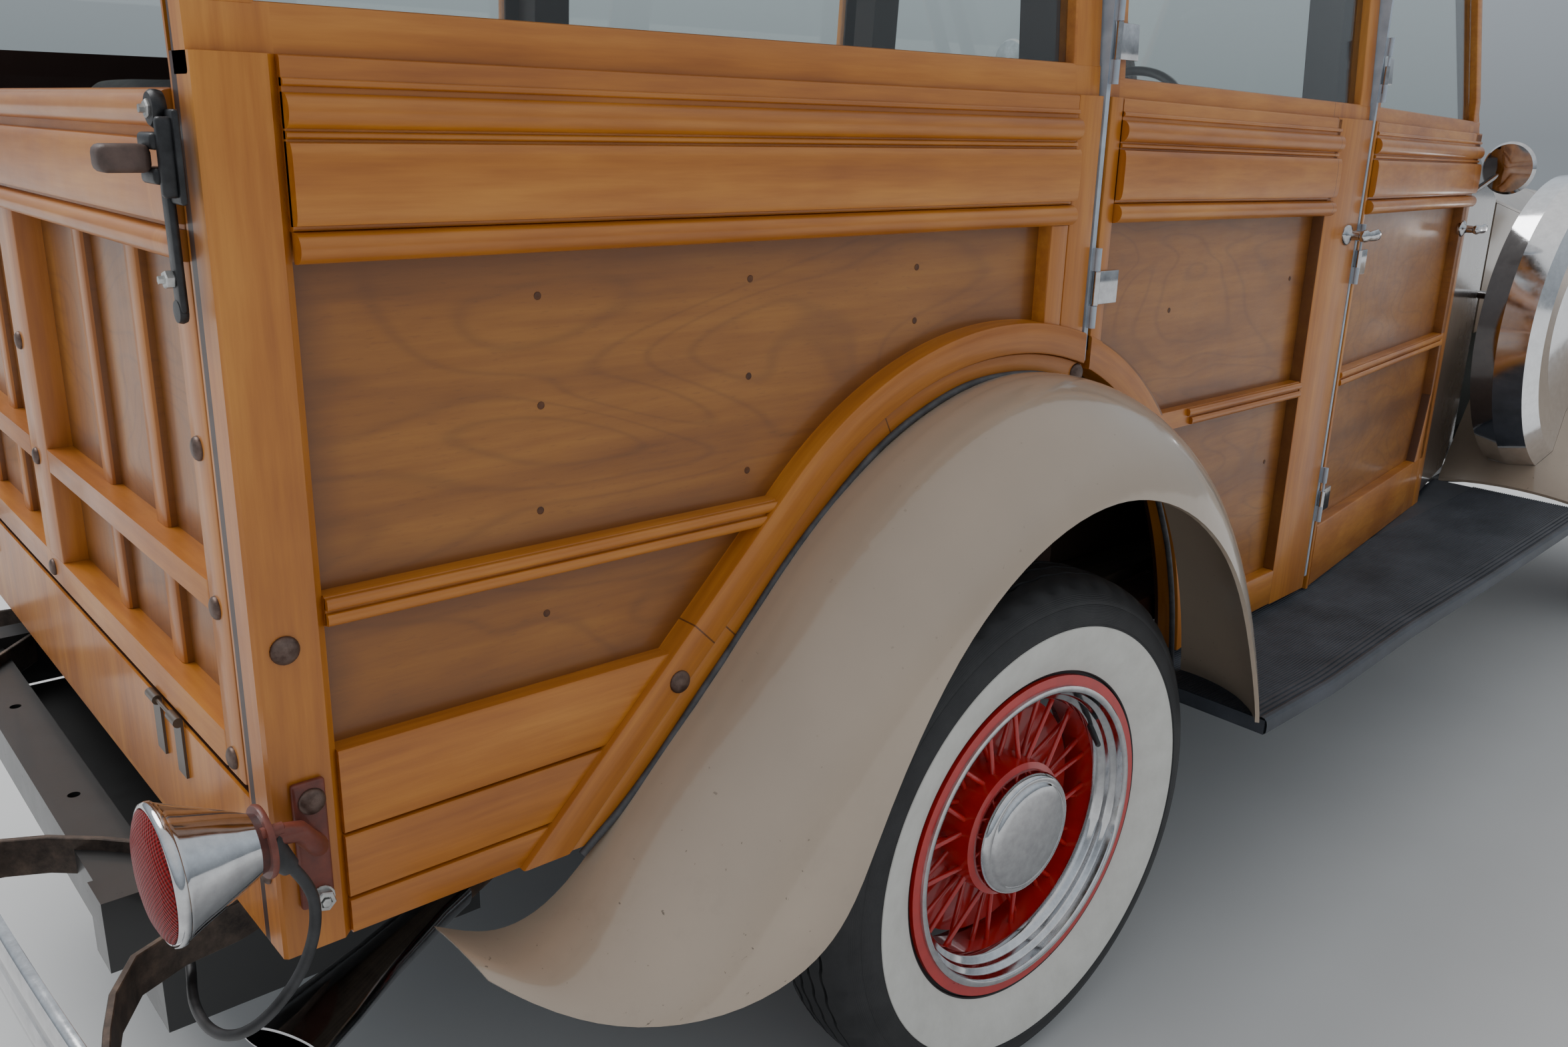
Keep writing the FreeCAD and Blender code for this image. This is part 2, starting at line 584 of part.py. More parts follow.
def hoods():
    """Left top and side panels of the hood, which part just below the shoulder line."""
    whole = nose_shell(HOOD_REAR_X, HOOD_FRONT_X, HOOD_LOW, HOOD_SHEET)
    ends = [fold_point(x) for x in (HOOD_REAR_X, HOOD_FRONT_X)]
    slope = (ends[1].z - ends[0].z) / (ends[1].x - ends[0].x)
    split = [(end.x + past, end.z + past * slope) for end, past in zip(ends, (-50, 50))]
    raised = [(x, z + HOOD_SPLIT / 2) for x, z in split]
    lowered = [(x, z - HOOD_SPLIT / 2) for x, z in split]
    over = prism(raised + [(split[1][0], 1400), (split[0][0], 1400)], "y", HOOD_ROD_R + 0.3, 600)
    under = prism(lowered + [(split[1][0], 600), (split[0][0], 600)], "y", 20, 600)
    trimmed = block(HOOD_REAR_X + HOOD_SIDE_TRIM, HOOD_FRONT_X, 20, 600, 600, 1400)
    return fused([whole.common(over)] + fold_hinge()), whole.common(under).common(trimmed)


def rear_fender():
    """Domed fender over the rear wheel, from its joint on the wood to its outer bead."""
    joint_y = QUARTER_Y
    rows = []
    for xi, zi, xo, yo, zo in ((484, 423, 404, 878, 422), (453, 560, 366, 882, 515), (399, 682, 315, 882, 620),
                               (296, 817, 237, 882, 719), (-4, 941, 0, 882, 822), (-304, 817, -257, 882, 705),
                               (-450, 671, -372, 882, 525), (-560, 561, -440, 880, 424), (-650, 480, -560, 872, 400),
                               (-720, 470, -670, 846, 424), (-778, 500, -765, 780, 480)):
        middle = V(xi * 0.62 + xo * 0.38, joint_y + (yo - joint_y) * 0.72, zo + (zi - zo) * 0.75)
        rows.append((V(xi, joint_y + 0.3, zi), middle, V(xo, yo, zo)))
    return strip_loft(rows, SHEET)


def front_fender():
    rows = []
    for x, zi, ym, zm, yo, zo in ((2030, 424, 600, 440, 775, 424), (2240, 540, 620, 610, 828, 460),
                                  (2460, 690, 640, 800, 862, 560), (2660, 735, 650, 885, 874, 700),
                                  (2845, 742, 655, 905, 878, 752), (3040, 722, 640, 865, 872, 690),
                                  (3200, 640, 600, 745, 846, 560), (3300, 480, 560, 560, 790, 420)):
        rows.append((V(x, nose_at(x)[0] + GAP, zi), V(x, ym, zm), V(x, yo, zo)))
    skin = strip_loft(rows, SHEET)
    return skin.cut(spare_wheel(0.3)).cut(lamp_stalk())


def running_board():
    outline = [(420, 655), (2026, 420), (2026, 772), (1350, 820), (967, 842), (633, 872), (420, 878)]
    return prism(outline, "z", BOARD_Z - BOARD_T, BOARD_Z)


def chassis():
    rail = [(-1000, 430), (-500, 430), (600, 470), (1500, 440), (2500, 330), (3360, 330)]
    side = prism([(x, y) for x, y in rail] + [(x, y - 50) for x, y in reversed(rail)], "z", CHASSIS_LOW, CHASSIS_TOP)
    cross = [block(x - 30, x + 30, -y, y, CHASSIS_LOW + 5, CHASSIS_TOP - 15) for x, y in
             ((-960, 400), (-420, 400), (560, 440), (1400, 420), (2300, 330), (3330, 310))]
    tank = block(-940, -560, -360, 360, 250, CHASSIS_LOW + 5)
    under = BOARD_Z - BOARD_T
    hangers = [block(x - 25, x + 25, y, 760, under - 20, under) for x, y in ((600, 440), (1300, 420), (1900, 370))]
    half = fused([side] + hangers)
    bolts = [rod(V(TOW_X, y, CHASSIS_LOW), V(TOW_X, y, CHASSIS_TOP), TOW_BOLT_R) for y in (-TOW_SPAN / 2, TOW_SPAN / 2)]
    return fused([half, mirrored(half), tank] + cross).cut(Part.makeCompound(bolts))


def rear_axle():
    parts = [rod(V(0, -REAR_TRACK / 2 + 12, HUB_Z), V(0, REAR_TRACK / 2 - 12, HUB_Z), SPINDLE_R),
             rod(V(0, -REAR_TRACK / 2 + 70, HUB_Z), V(0, REAR_TRACK / 2 - 70, HUB_Z), 38),
             Part.makeSphere(120, V(0, 0, HUB_Z)), rod(V(0, 0, HUB_Z), V(1350, 0, 355), 35),
             block(-70, -20, -510, 510, CHASSIS_TOP, CHASSIS_TOP + 20)]
    parts += [block(-60, -30, y - 12, y + 12, HUB_Z, CHASSIS_TOP + 10) for y in (-490, 490)]
    parts += [rod(V(0, s * (REAR_TRACK / 2 - 72), HUB_Z), V(0, s * (REAR_TRACK / 2 - 52), HUB_Z), 148) for s in (-1, 1)]
    return fused(parts)


def front_axle():
    parts = [block(WHEELBASE - 25, WHEELBASE + 25, -KINGPIN_Y, KINGPIN_Y, 300, 345)]
    parts += [rod(V(WHEELBASE, y, 300), V(WHEELBASE, y, 390), 22) for y in (-KINGPIN_Y, KINGPIN_Y)]
    parts += [rod(V(WHEELBASE, y, 320), V(1900, y * 0.1, 370), 16) for y in (-540, 540)]
    parts.append(block(WHEELBASE - 25, WHEELBASE + 25, -325, 325, 345, CHASSIS_LOW))
    return fused(parts)


def knuckle():
    y = KINGPIN_Y
    parts = [rod(V(WHEELBASE, y, z0), V(WHEELBASE, y, z1), 24) for z0, z1 in ((390.5, 411), (276, 299.5))]
    parts += [block(WHEELBASE - 20, WHEELBASE + 20, y, y + 42, z0, z1) for z0, z1 in ((390.5, 411), (276, 299.5))]
    parts.append(block(WHEELBASE - 20, WHEELBASE + 20, y + 29, y + 46, 276, 411))
    parts.append(Part.makeCylinder(148, 6, V(WHEELBASE, y + 42, HUB_Z), V(0, 1, 0)))
    parts.append(rod(V(WHEELBASE, y + 42, HUB_Z), V(WHEELBASE, FRONT_TRACK / 2 - 12, HUB_Z), SPINDLE_R))
    return fused(parts)


def body_floor():
    inside = WALL + GAP + POST_D
    outline = [(TAIL_X + 61, QUARTER_Y - WALL - 1), (C_POST_X - 41, QUARTER_Y - WALL - 1), (C_POST_X - 41, QUARTER_Y - inside),
               (B_POST_X, B_POST_Y - inside - 15), (A_POST_X, A_POST_Y - inside - 5)]
    plate = prism(outline + [(x, -y) for x, y in reversed(outline)], "z", FLOOR_Z, FLOOR_Z + FLOOR_T)
    house = arch_cut(ARCH_R - ARCH_BAND - 4, FLOOR_Z, 0, 590, QUARTER_Y - WALL - 1)
    house = house.common(block(-700, C_POST_X - 45, 500, 700, FLOOR_Z, 1000))
    hollow = arch_cut(ARCH_R - ARCH_BAND - 12, FLOOR_Z - 60, 0, 598, QUARTER_Y)
    house = house.cut(hollow)
    plate = plate.cut(hollow).cut(mirrored(hollow))
    return fused([plate, house, mirrored(house)])


def seats():
    parts = []
    for x, half in ((1120, 440), (300, 500), (-520, 500)):
        parts.append(fused([block(x, x + 440, -half, half, 620, 790),
                            prism([(x - 150, 1240), (x - 60, 1240), (x + 110, 700), (x + 10, 700)], "y", -half, half),
                            block(x + 20, x + 400, -half + 60, half - 60, FLOOR_Z + FLOOR_T, 640)]))
    return Part.makeCompound(parts)


def dashboard():
    board = prism([(1838, 1080), (1838, 1170), (1812, 1170), (1802, 1080)], "y", -420, 420)
    x, y, z = WHEEL_AT
    slope = math.radians(WHEEL_TILT)
    along = V(math.sin(slope), 0, -math.cos(slope))
    column = rod(V(x, y, z) + along * 28.5, V(x, y, z) + along * 640, 20)
    bracket = block(1960, HOOD_REAR_X - 30, y - 15, y + 15, z - 340, z - 305)
    return fused([board, column, bracket])


def steering_wheel():
    ring = Part.makeTorus(205, 11)
    spokes = [rod(V(0, 0, -6), V(203 * math.cos(a), 203 * math.sin(a), 0), 6) for a in (0.52, 2.62, 4.71)]
    boss = Part.makeCylinder(34, 40, V(0, 0, -28))
    wheel = fused([ring, boss] + spokes)
    return wheel


def bar_bumper(x, sign, low, high):
    edge = Part.Arc(V(x - sign * 70, -840, low), V(x, 0, low), V(x - sign * 70, 840, low)).toShape()
    back = Part.Arc(V(x - sign * 82, 840, low), V(x - sign * 12, 0, low), V(x - sign * 82, -840, low)).toShape()
    ends = [Part.LineSegment(V(x - sign * 70, y, low), V(x - sign * 82, y, low)).toShape() for y in (840, -840)]
    face = Part.Face(Part.Wire([edge, ends[0], back, ends[1]]))
    return face.extrude(V(0, 0, high - low))


def rear_bumper():
    bar = bar_bumper(-REAR_OVERHANG, -1, 400, 480)
    return fused([bar] + [block(-REAR_OVERHANG + 5, -1000, y - 8, y + 8, 418, 462) for y in (-405, 405)])


def front_bumper():
    bar = bar_bumper(FRONT_END, 1, 400, 480)
    return fused([bar] + [block(3360, FRONT_END - 20, y - 8, y + 8, 418, 462) for y in (-305, 305)])


def radiator_shell():
    shell = nose_shell(HOOD_FRONT_X + GAP, SHELL_FRONT_X, CHASSIS_TOP, SHELL_WALL)
    return shell.cut(rod(V(HOOD_FRONT_X, 0, hood_line(HOOD_FRONT_X)),
                         V(HOOD_FRONT_X + GAP + 0.5, 0, hood_line(HOOD_FRONT_X + GAP)), HOOD_ROD_R))


def grille():
    """Upright bars and two cross bars that end on the inside of the shell."""
    bars = [block(3296, 3318, y - 3, y + 3, CHASSIS_TOP + 8, 1100) for y in range(-180, 181, 15)]
    cross = [block(3292, 3304, -220, 220, z, z + 12) for z in (CHASSIS_TOP + 8, 700, 880)]
    space = Part.makeLoft([nose_section(x, CHASSIS_TOP, SHELL_WALL + 0.2) for x in (3280, SHELL_FRONT_X)], True, True)
    return fused(bars + cross).common(space)


def lamp_stalk():
    return rod(V(3080, 470, 700), V(3080, 470, 920), 16)


def headlamp():
    bowl = turned([(0, 0), (60, 20), (92, 70), (102, 130), (102, 150), (88, 162), (0, 172)])
    bowl.rotate(V(0, 0, 0), V(0, 0, 1), -90)
    bowl.translate(V(2990, 470, 990))
    return fused([bowl, lamp_stalk()])


def tail_lamp():
    cone = turned([(0, 0), (26, 4), (44, 40), (50, 96), (50, 104), (42, 110), (0, 112)])
    cone.rotate(V(0, 0, 0), V(0, 0, 1), 90)
    cone.translate(V(-890, 800, 690))
    plate = block(-905, -868, QUARTER_Y, QUARTER_Y + 8, 560, 672)
    arm = tube([V(-886, QUARTER_Y + 2, 640), V(-886, 780, 640), V(-900, 800, 680)], 9, 20)
    return fused([cone, plate, arm])


def spare_wheel(grow=0.0):
    """Spare wheel in its drum cover, upright in the front fender."""
    r, g = SPARE_R + grow, grow
    drum = turned([(0, -64 - g), (r - 56, -64 - g), (r - 8, -52 - g), (r, 0), (r - 10, 60 + g), (r - 58, 76 + g),
                   (200, 56 + g), (80, 64 + g), (0, 68 + g)])
    return moved(drum, *SPARE)


def spare_wheels():
    """Both covered spares, each with the arm that ties it to the cowl."""
    x, y, z = SPARE
    arm = rod(V(x - 60, nose_at(x - 60)[0] + 2, z + 60), V(x - 60, y - 60, z + 60), 10)
    return fused([spare_wheel(), arm])


def mirror(foot, head):
    """Round mirror facing back on an arm from its foot."""
    disc = turned([(0, 0), (45, 0), (55, 6), (50, 14), (0, 22)])
    disc.rotate(V(0, 0, 0), V(0, 0, 1), 90)
    disc.translate(head)
    return fused([disc, rod(head - V(10, 0, 0), foot, 6)])


def windshield():
    half = SCREEN_Y
    low, high = NOSE[0][2], RAIL_Z
    outline = [(screen_x(low) + 15, low), (screen_x(low) + 15 + GLASS_T, low),
               (screen_x(high) + 15 + GLASS_T, high - 1), (screen_x(high) + 15, high - 1)]
    return prism(outline, "y", -half, half)


def write(name, shape):
    placed_shape = shape.copy()
    placed_shape.translate(V(-ORIGIN_X, 0, 0))
    placed_shape.exportStep("parts/" + name + ".step")


def main():
    os.makedirs("parts", exist_ok=True)
    quarter_side, quarter_pane = quarter()
    write("quarter_panels", pair(quarter_side))
    write("fixed_glass", Part.makeCompound([quarter_pane, mirrored(quarter_pane), windshield()]))
    for name, run, gap, lean, arch, hinges in (("rear", REAR_DOOR, HINGE_GAP / 2, 0.0, True, REAR_HINGES),
                                               ("front", FRONT_DOOR, GAP, 150.0, False, FRONT_HINGES)):
        panel, pane = door(run[0], length_of(run), gap, lean, arch, hinges)
        panel, pane = placed(panel, *run), placed(pane, *run)
        write("door_%s_left" % name, panel)
        write("door_%s_right" % name, mirrored(panel))
        write("glass_%s_left" % name, pane)
        write("glass_%s_right" % name, mirrored(pane))
    strips = [placed(hinge_strip(STRIP_FOOT, REAR_HINGES), *bisector((TAIL_X, QUARTER_Y), REAR_DOOR)),
              placed(hinge_strip(DOOR_BOTTOM + 10, FRONT_HINGES), *bisector(REAR_DOOR[:2], FRONT_DOOR))]
    write("hinge_strips", Part.makeCompound(strips + [mirrored(strip) for strip in strips]))
    wheel, rubber = wire_wheel(), tyre()
    for end, x, track in (("rear", 0.0, REAR_TRACK), ("front", WHEELBASE, FRONT_TRACK)):
        for item, shape in (("wheel", wheel), ("tyre", rubber)):
            left = moved(shape, x, track / 2, HUB_Z)
            write("%s_%s_left" % (item, end), left)
            write("%s_%s_right" % (item, end), mirrored(left))
    top, side = hoods()
    for item, shape in (("hood_top", top), ("hood_side", side)):
        write(item + "_left", shape)
        write(item + "_right", mirrored(shape))
    write("mirror_right", mirrored(mirror(V(1830, nose_at(1830)[0] + 3, 1120), V(1850, 531, 1168))))
    write("mirror_left", mirror(V(1693, 491, 1390), V(1690, 740, 1400)))
    write("knuckle_left", knuckle())
    write("knuckle_right", mirrored(knuckle()))
    turn = steering_wheel()
    turn.rotate(V(0, 0, 0), V(0, 1, 0), -WHEEL_TILT)
    write("steering_wheel", moved(turn, *WHEEL_AT))
    for name, maker in (("tailgate", tailgate), ("wood_frame", wood_frame), ("roof", roof), ("cowl", cowl),
                        ("chassis_frame", chassis), ("rear_axle", rear_axle), ("front_axle", front_axle),
                        ("body_floor", body_floor), ("seats", seats), ("dashboard", dashboard),
                        ("rear_bumper", rear_bumper), ("front_bumper", front_bumper),
                        ("radiator_shell", radiator_shell), ("grille", grille)):
        write(name, maker())
    for name, maker in (("rear_fenders", rear_fender), ("front_fenders", front_fender),
                        ("running_boards", running_board), ("headlamps", headlamp), ("tail_lamps", tail_lamp),
                        ("spare_wheels", spare_wheels)):
        write(name, pair(maker()))
    write("engine_block", block(2330, 2960, -200, 200, 420, 900))


main()
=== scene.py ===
import math
import bpy
import bmesh
from mathutils import Matrix, Vector


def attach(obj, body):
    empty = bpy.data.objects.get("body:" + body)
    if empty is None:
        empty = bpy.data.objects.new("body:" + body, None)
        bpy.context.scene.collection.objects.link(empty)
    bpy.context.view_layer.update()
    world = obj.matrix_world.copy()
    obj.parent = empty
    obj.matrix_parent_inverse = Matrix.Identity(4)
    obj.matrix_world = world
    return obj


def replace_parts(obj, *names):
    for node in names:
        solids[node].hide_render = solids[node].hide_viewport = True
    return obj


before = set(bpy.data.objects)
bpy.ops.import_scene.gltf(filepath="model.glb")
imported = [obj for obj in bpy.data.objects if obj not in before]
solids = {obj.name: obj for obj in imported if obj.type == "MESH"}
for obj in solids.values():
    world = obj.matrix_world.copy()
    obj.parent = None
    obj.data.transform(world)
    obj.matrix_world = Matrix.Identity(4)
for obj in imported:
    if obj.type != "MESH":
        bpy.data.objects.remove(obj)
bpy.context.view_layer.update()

# The viewpoint of the photograph: behind the right rear corner, a little below the belt of the body,
# looking forward and down along the side past the rear fender.
aim, dip, roll = (math.radians(a) for a in (48.77, 17.31, 1.45))
ahead = Vector((math.cos(aim) * math.cos(dip), math.sin(aim) * math.cos(dip), -math.sin(dip)))
level = Vector((math.sin(aim), -math.cos(aim), 0))
over = level.cross(ahead)
right = math.cos(roll) * level + math.sin(roll) * over
upward = math.cos(roll) * over - math.sin(roll) * level
lens = bpy.data.cameras.new("camera")
lens.lens, lens.sensor_width = 29.70, 36
camera = bpy.data.objects.new("camera", lens)
bpy.context.scene.collection.objects.link(camera)
facing = Matrix((right, upward, -ahead)).transposed().to_4x4()
camera.matrix_world = Matrix.Translation((-2.447, -1.695, 1.229)) @ facing
bpy.context.scene.camera = camera


class Link:
    """An output of a shader node. Arithmetic on it adds the Math nodes that work it out."""

    def __init__(self, finish, socket):
        self.finish, self.socket = finish, socket

    def maths(self, operation, *values):
        return self.finish.add("ShaderNodeMath", {"operation": operation}, dict(enumerate(values)))

    def __add__(self, other):
        return self.maths("ADD", self, other)

    def __sub__(self, other):
        return self.maths("SUBTRACT", self, other)

    def __rsub__(self, other):
        return self.maths("SUBTRACT", other, self)

    def __mul__(self, other):
        return self.maths("MULTIPLY", self, other)

    def __pow__(self, other):
        return self.maths("POWER", self, other)

    def __gt__(self, other):
        return self.maths("GREATER_THAN", self, other)

    def __lt__(self, other):
        return self.maths("LESS_THAN", self, other)

    def __or__(self, other):
        return self.maths("MAXIMUM", self, other)

    def __and__(self, other):
        return self.maths("MINIMUM", self, other)

    def __abs__(self):
        return self.maths("ABSOLUTE", self)

    def sine(self):
        return self.maths("SINE", self)

    __radd__, __rmul__ = __add__, __mul__

    def within(self, low, high):
        return (self > low) * (self < high)

    def rise(self, low, high):
        """0 below the low value, 1 above the high one, smooth between."""
        return self.finish.add("ShaderNodeMapRange", {"interpolation_type": "SMOOTHSTEP"},
                               {"Value": self, "From Min": low, "From Max": high})


class Finish:
    """A material, with the one method that adds any node to it."""

    def __init__(self, name):
        self.material = bpy.data.materials.new(name)
        self.material.use_nodes = True
        self.tree = self.material.node_tree
        self.tree.nodes.clear()

    def add(self, kind, settings=None, inputs=None, output=0):
        node = self.tree.nodes.new(kind)
        for key, setting in (settings or {}).items():
            if key == "stops":
                while len(node.color_ramp.elements) < len(setting):
                    node.color_ramp.elements.new(1)
                for element, (position, colour) in zip(node.color_ramp.elements, setting):
                    element.position, element.color = position, (*colour, 1)
            else:
                setattr(node, key, setting)
        for key, value in (inputs or {}).items():
            socket = node.inputs[key]
            if isinstance(value, Link):
                self.tree.links.new(value.socket, socket)
            else:
                socket.default_value = (*value, 1) if socket.type == "RGBA" and len(value) == 3 else value
        return Link(self, node.outputs[output])

    def place(self):
        """Where a point is in the car's frame at rest: the vector and its three parts."""
        vector = self.add("ShaderNodeTexCoord", output="Object")
        parts = self.add("ShaderNodeSeparateXYZ", inputs={"Vector": vector}).socket.node
        return vector, *(Link(self, out) for out in parts.outputs)

    def join(self, x, y, z):
        return self.add("ShaderNodeCombineXYZ", inputs={"X": x, "Y": y, "Z": z})

    def noise(self, vector, scale, detail=3.0, rough=0.5, twist=0.0):
        return self.add("ShaderNodeTexNoise", inputs={"Vector": vector, "Scale": scale, "Detail": detail,
                                                      "Roughness": rough, "Distortion": twist})

    def ramp(self, value, *stops):
        return self.add("ShaderNodeValToRGB", {"stops": stops}, {"Fac": value})

    def mix(self, share, a, b):
        return self.add("ShaderNodeMix", {"data_type": "RGBA"}, {0: share, 6: a, 7: b}, 2)

    def choose(self, mask, yes, no):
        return no + mask * (yes - no)

    def bump(self, height, strength, distance, under=None):
        inputs = {"Height": height, "Strength": strength, "Distance": distance}
        if under:
            inputs["Normal"] = under
        return self.add("ShaderNodeBump", inputs=inputs)

    def surface(self, **sockets):
        """The finished surface, from the sockets that aren't left as they are."""
        named = {key.replace("_", " "): value for key, value in sockets.items()}
        shader = self.add("ShaderNodeBsdfPrincipled", inputs=named)
        output = self.tree.nodes.new("ShaderNodeOutputMaterial")
        self.tree.links.new(shader.socket, output.inputs["Surface"])
        return self.material


def dressed(names, material):
    for name in names:
        solids[name].data.materials.clear()
        solids[name].data.materials.append(material)


# Cables of the two tail lamps: black rubber-covered wire that leaves each lamp's boot, hangs in a
# bight behind the body and goes in under the outer bumper iron to the frame rail.
def rubbered(name, shade, rough):
    finish = Finish(name)
    vector = finish.place()[0]
    dust = finish.noise(vector, 38, 6, 0.65)
    colour = finish.ramp(dust, (0.35, shade), (0.72, tuple(min(1, c * 2.6 + 0.01) for c in shade)))
    grain = finish.noise(vector, 900, 3)
    return finish.surface(Base_Color=colour, Roughness=finish.choose(dust, rough + 0.12, rough - 0.08),
                          Normal=finish.bump(grain, 0.25, 0.0004))


black_rubber = rubbered("black_rubber", (0.011, 0.011, 0.012), 0.46)
cable_route = ((-2.1386, 0.740, 0.6409), (-2.1211, 0.740, 0.6142), (-2.119, 0.739, 0.577),
               (-2.131, 0.736, 0.538), (-2.150, 0.723, 0.502), (-2.168, 0.699, 0.469),
               (-2.180, 0.666, 0.446), (-2.185, 0.628, 0.432), (-2.183, 0.586, 0.422),
               (-2.177, 0.546, 0.416), (-2.165, 0.506, 0.418), (-2.158, 0.472, 0.421),
               (-2.157, 0.4302, 0.421))
for hand, side in (("left", 1), ("right", -1)):
    wire = bpy.data.curves.new("lamp_cable_" + hand, "CURVE")
    wire.dimensions, wire.bevel_depth, wire.bevel_resolution, wire.use_fill_caps = "3D", 0.005, 4, True
    run = wire.splines.new("NURBS")
    run.points.add(len(cable_route) - 1)
    for point, (x, y, z) in zip(run.points, cable_route):
        point.co = (x, side * y, z, 1)
    run.order_u, run.use_endpoint_u = 3, True
    run.resolution_u = 10
    wire.materials.append(black_rubber)
    cable = bpy.data.objects.new("lamp_cable_" + hand, wire)
    bpy.context.scene.collection.objects.link(cable)
    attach(cable, "root")
    x, y, z = cable_route[0]
    side * y

# Floor and light: a pale seamless floor, an even bright sky that darkens to the horizon, and one large
# soft lamp high over the right side.
floor_mesh = bpy.data.meshes.new("floor")
floor_mesh.from_pydata([(-30, -30, 0), (30, -30, 0), (30, 30, 0), (-30, 30, 0)], [], [(0, 1, 2, 3)])
floor = bpy.data.objects.new("floor", floor_mesh)
bpy.context.scene.collection.objects.link(floor)
paving = Finish("pale_floor")
vector = paving.place()[0]
pale = paving.ramp(paving.noise(vector, 1.7, 4), (0.3, (0.60, 0.60, 0.595)), (0.7, (0.65, 0.65, 0.645)))
floor_mesh.materials.append(paving.surface(Base_Color=pale, Roughness=0.7))
world = bpy.data.worlds.new("sky")
bpy.context.scene.world = world
world.use_nodes = True
sky = world.node_tree
sky_place = sky.nodes.new("ShaderNodeTexCoord")
sky_parts = sky.nodes.new("ShaderNodeSeparateXYZ")
sky_ramp = sky.nodes.new("ShaderNodeValToRGB")
sky.links.new(sky_place.outputs["Generated"], sky_parts.inputs[0])
sky.links.new(sky_parts.outputs["Z"], sky_ramp.inputs[0])
sky.links.new(sky_ramp.outputs[0], sky.nodes["Background"].inputs["Color"])
for element, (position, shade) in zip((*sky_ramp.color_ramp.elements,
                                       sky_ramp.color_ramp.elements.new(0.35)),
                                      ((0.0, (0.30, 0.33, 0.36, 1)), (1.0, (0.95, 0.98, 1.0, 1)),
                                       (0.35, (0.72, 0.80, 0.88, 1)))):
    element.position, element.color = position, shade
sky.nodes["Background"].inputs["Strength"].default_value = 0.85
sun = bpy.data.lights.new("soft_sun", "SUN")
sun.energy, sun.angle = 2.4, 0.7
sun_holder = bpy.data.objects.new("soft_sun", sun)
sun_holder.rotation_euler = (math.radians(-32), math.radians(-14), 0)
bpy.context.scene.collection.objects.link(sun_holder)


# Wood body: quarters, doors, tailgate, posts and rails of hard maple under several coats of clear varnish,
# with figured plywood panels let into the framing; the faces deep inside the body are painted near-black
# brown, as painted shade, and carry less coat. The varnish has gone deep gold; painted shade, with some old
# varnish gathered there, darkens the panels towards the rails, stiles and battens round them. A station is
# measured forward from the rear axle, and a level up from the ground, before the belt's fall towards the
# front.
axle_back = 1.221
c_post, b_post = 0.154, 0.976
half_width, rear_door_taper, front_door_taper = 0.700, 0.07299, 0.11497
belt_fall, foot_fall, lean_in = 0.018, 0.012, 0.0612
arch_x, arch_z, arch_shift, arch_more, slant, diagonal = -0.004, 0.517, 0.15132, 0.214, 0.70711, 1.41421
plank_top, mid_low, mid_high, round_low, round_high, sill_top = 0.705, 0.818, 0.845, 1.115, 1.139, 1.266
corner_edge, c_stile, quarter_end = -0.853, 0.097, 0.145
rear_door = {"start": 0.163, "panel": (0.190, 0.829), "belt_end": 0.843, "end": 0.967}
front_door = {"start": 0.985, "panel": (0.9976, 1.7300), "belt_end": 1.7830, "end": 1.784}
gate_half, gate_stile, gate_middle, gate_battens = 0.645, 0.600, 0.042, ((0.211, 0.245), (0.397, 0.431))


def front_curve(level):
    """Station where the front door's panels end: it bows back above and below the middle rail."""
    return 1.7567 - (level - 0.930) ** 2 * 0.5307


def arch_of(finish, station, z):
    """How far a point is from the wheel arch's centre, and how far along the arch it is."""
    across, up = station - arch_x, z - arch_z
    tail = (across + up) * -slant
    middle = (across ** 2 + up ** 2) ** 0.5
    wide = ((across + arch_shift) ** 2 + (up + arch_shift) ** 2) ** 0.5 - arch_more
    out = finish.choose(tail > 0, (up - across) * slant, finish.choose((across - up) > 0, wide, middle))
    turn = up.maths("ARCTAN2", up, across * -1)
    return out, finish.choose(tail > 0, 0.3534 - tail, turn * 0.45)


def bays_of(level, foot=plank_top):
    """Levels where a panel can show: below the middle rail, and from it to the half-round."""
    return level.within(foot, mid_low) | level.within(mid_high, round_low)


def quarter_wood(finish, station, side, level, z):
    out, along = arch_of(finish, station, z)
    panel_end, band_edge, hairline = 0.064, 0.487, 0.0009
    panel = bays_of(level) * station.within(corner_edge, panel_end) * (out > band_edge) * (z < 1.25)
    upright = (station < corner_edge) | (station > c_stile) | (station > 0.0645) * (level < round_low)
    band = out.within(0.42, band_edge) * (z < 1.2)
    edge = (station - corner_edge) & (panel_end - station) & (out - band_edge)
    inner, outer = out.within(0.42, 0.4475), out.within(0.449, band_edge)
    joint = inner * (abs(along - 0.492) < hairline) | outer * (abs(along - 0.17) < hairline)
    return panel, upright, band, edge, along, out, joint | inner * (abs(along - 0.192) < hairline)


def rear_door_wood(finish, station, side, level, z):
    out, along = arch_of(finish, station, z)
    out = out - (0.95 - z) * 0.05
    start, end = rear_door["panel"]
    band_edge = 0.486
    panel = bays_of(level, 0.511) * station.within(start, end) * (out > band_edge)
    upright = (station < start) | (station > end) * (level < round_low) | (station > rear_door["belt_end"])
    band = out.within(0.40, band_edge) * (z < 1.2)
    edge = (station - start) & (end - station) & (out - band_edge)
    return panel, upright, band, edge, along, out, abs(station - end) < 0.0006


def front_door_wood(finish, station, side, level, z):
    start, end = front_door["panel"][0], front_curve(level)
    panel = bays_of(level, 0.561) * (station > start) * (station < end)
    upright = (station < start) | (station > end) * (level < 1.28)
    none = station * 0
    return panel, upright, none, (station - start) & (end - station), none, none, abs(station - end) < 0.0006


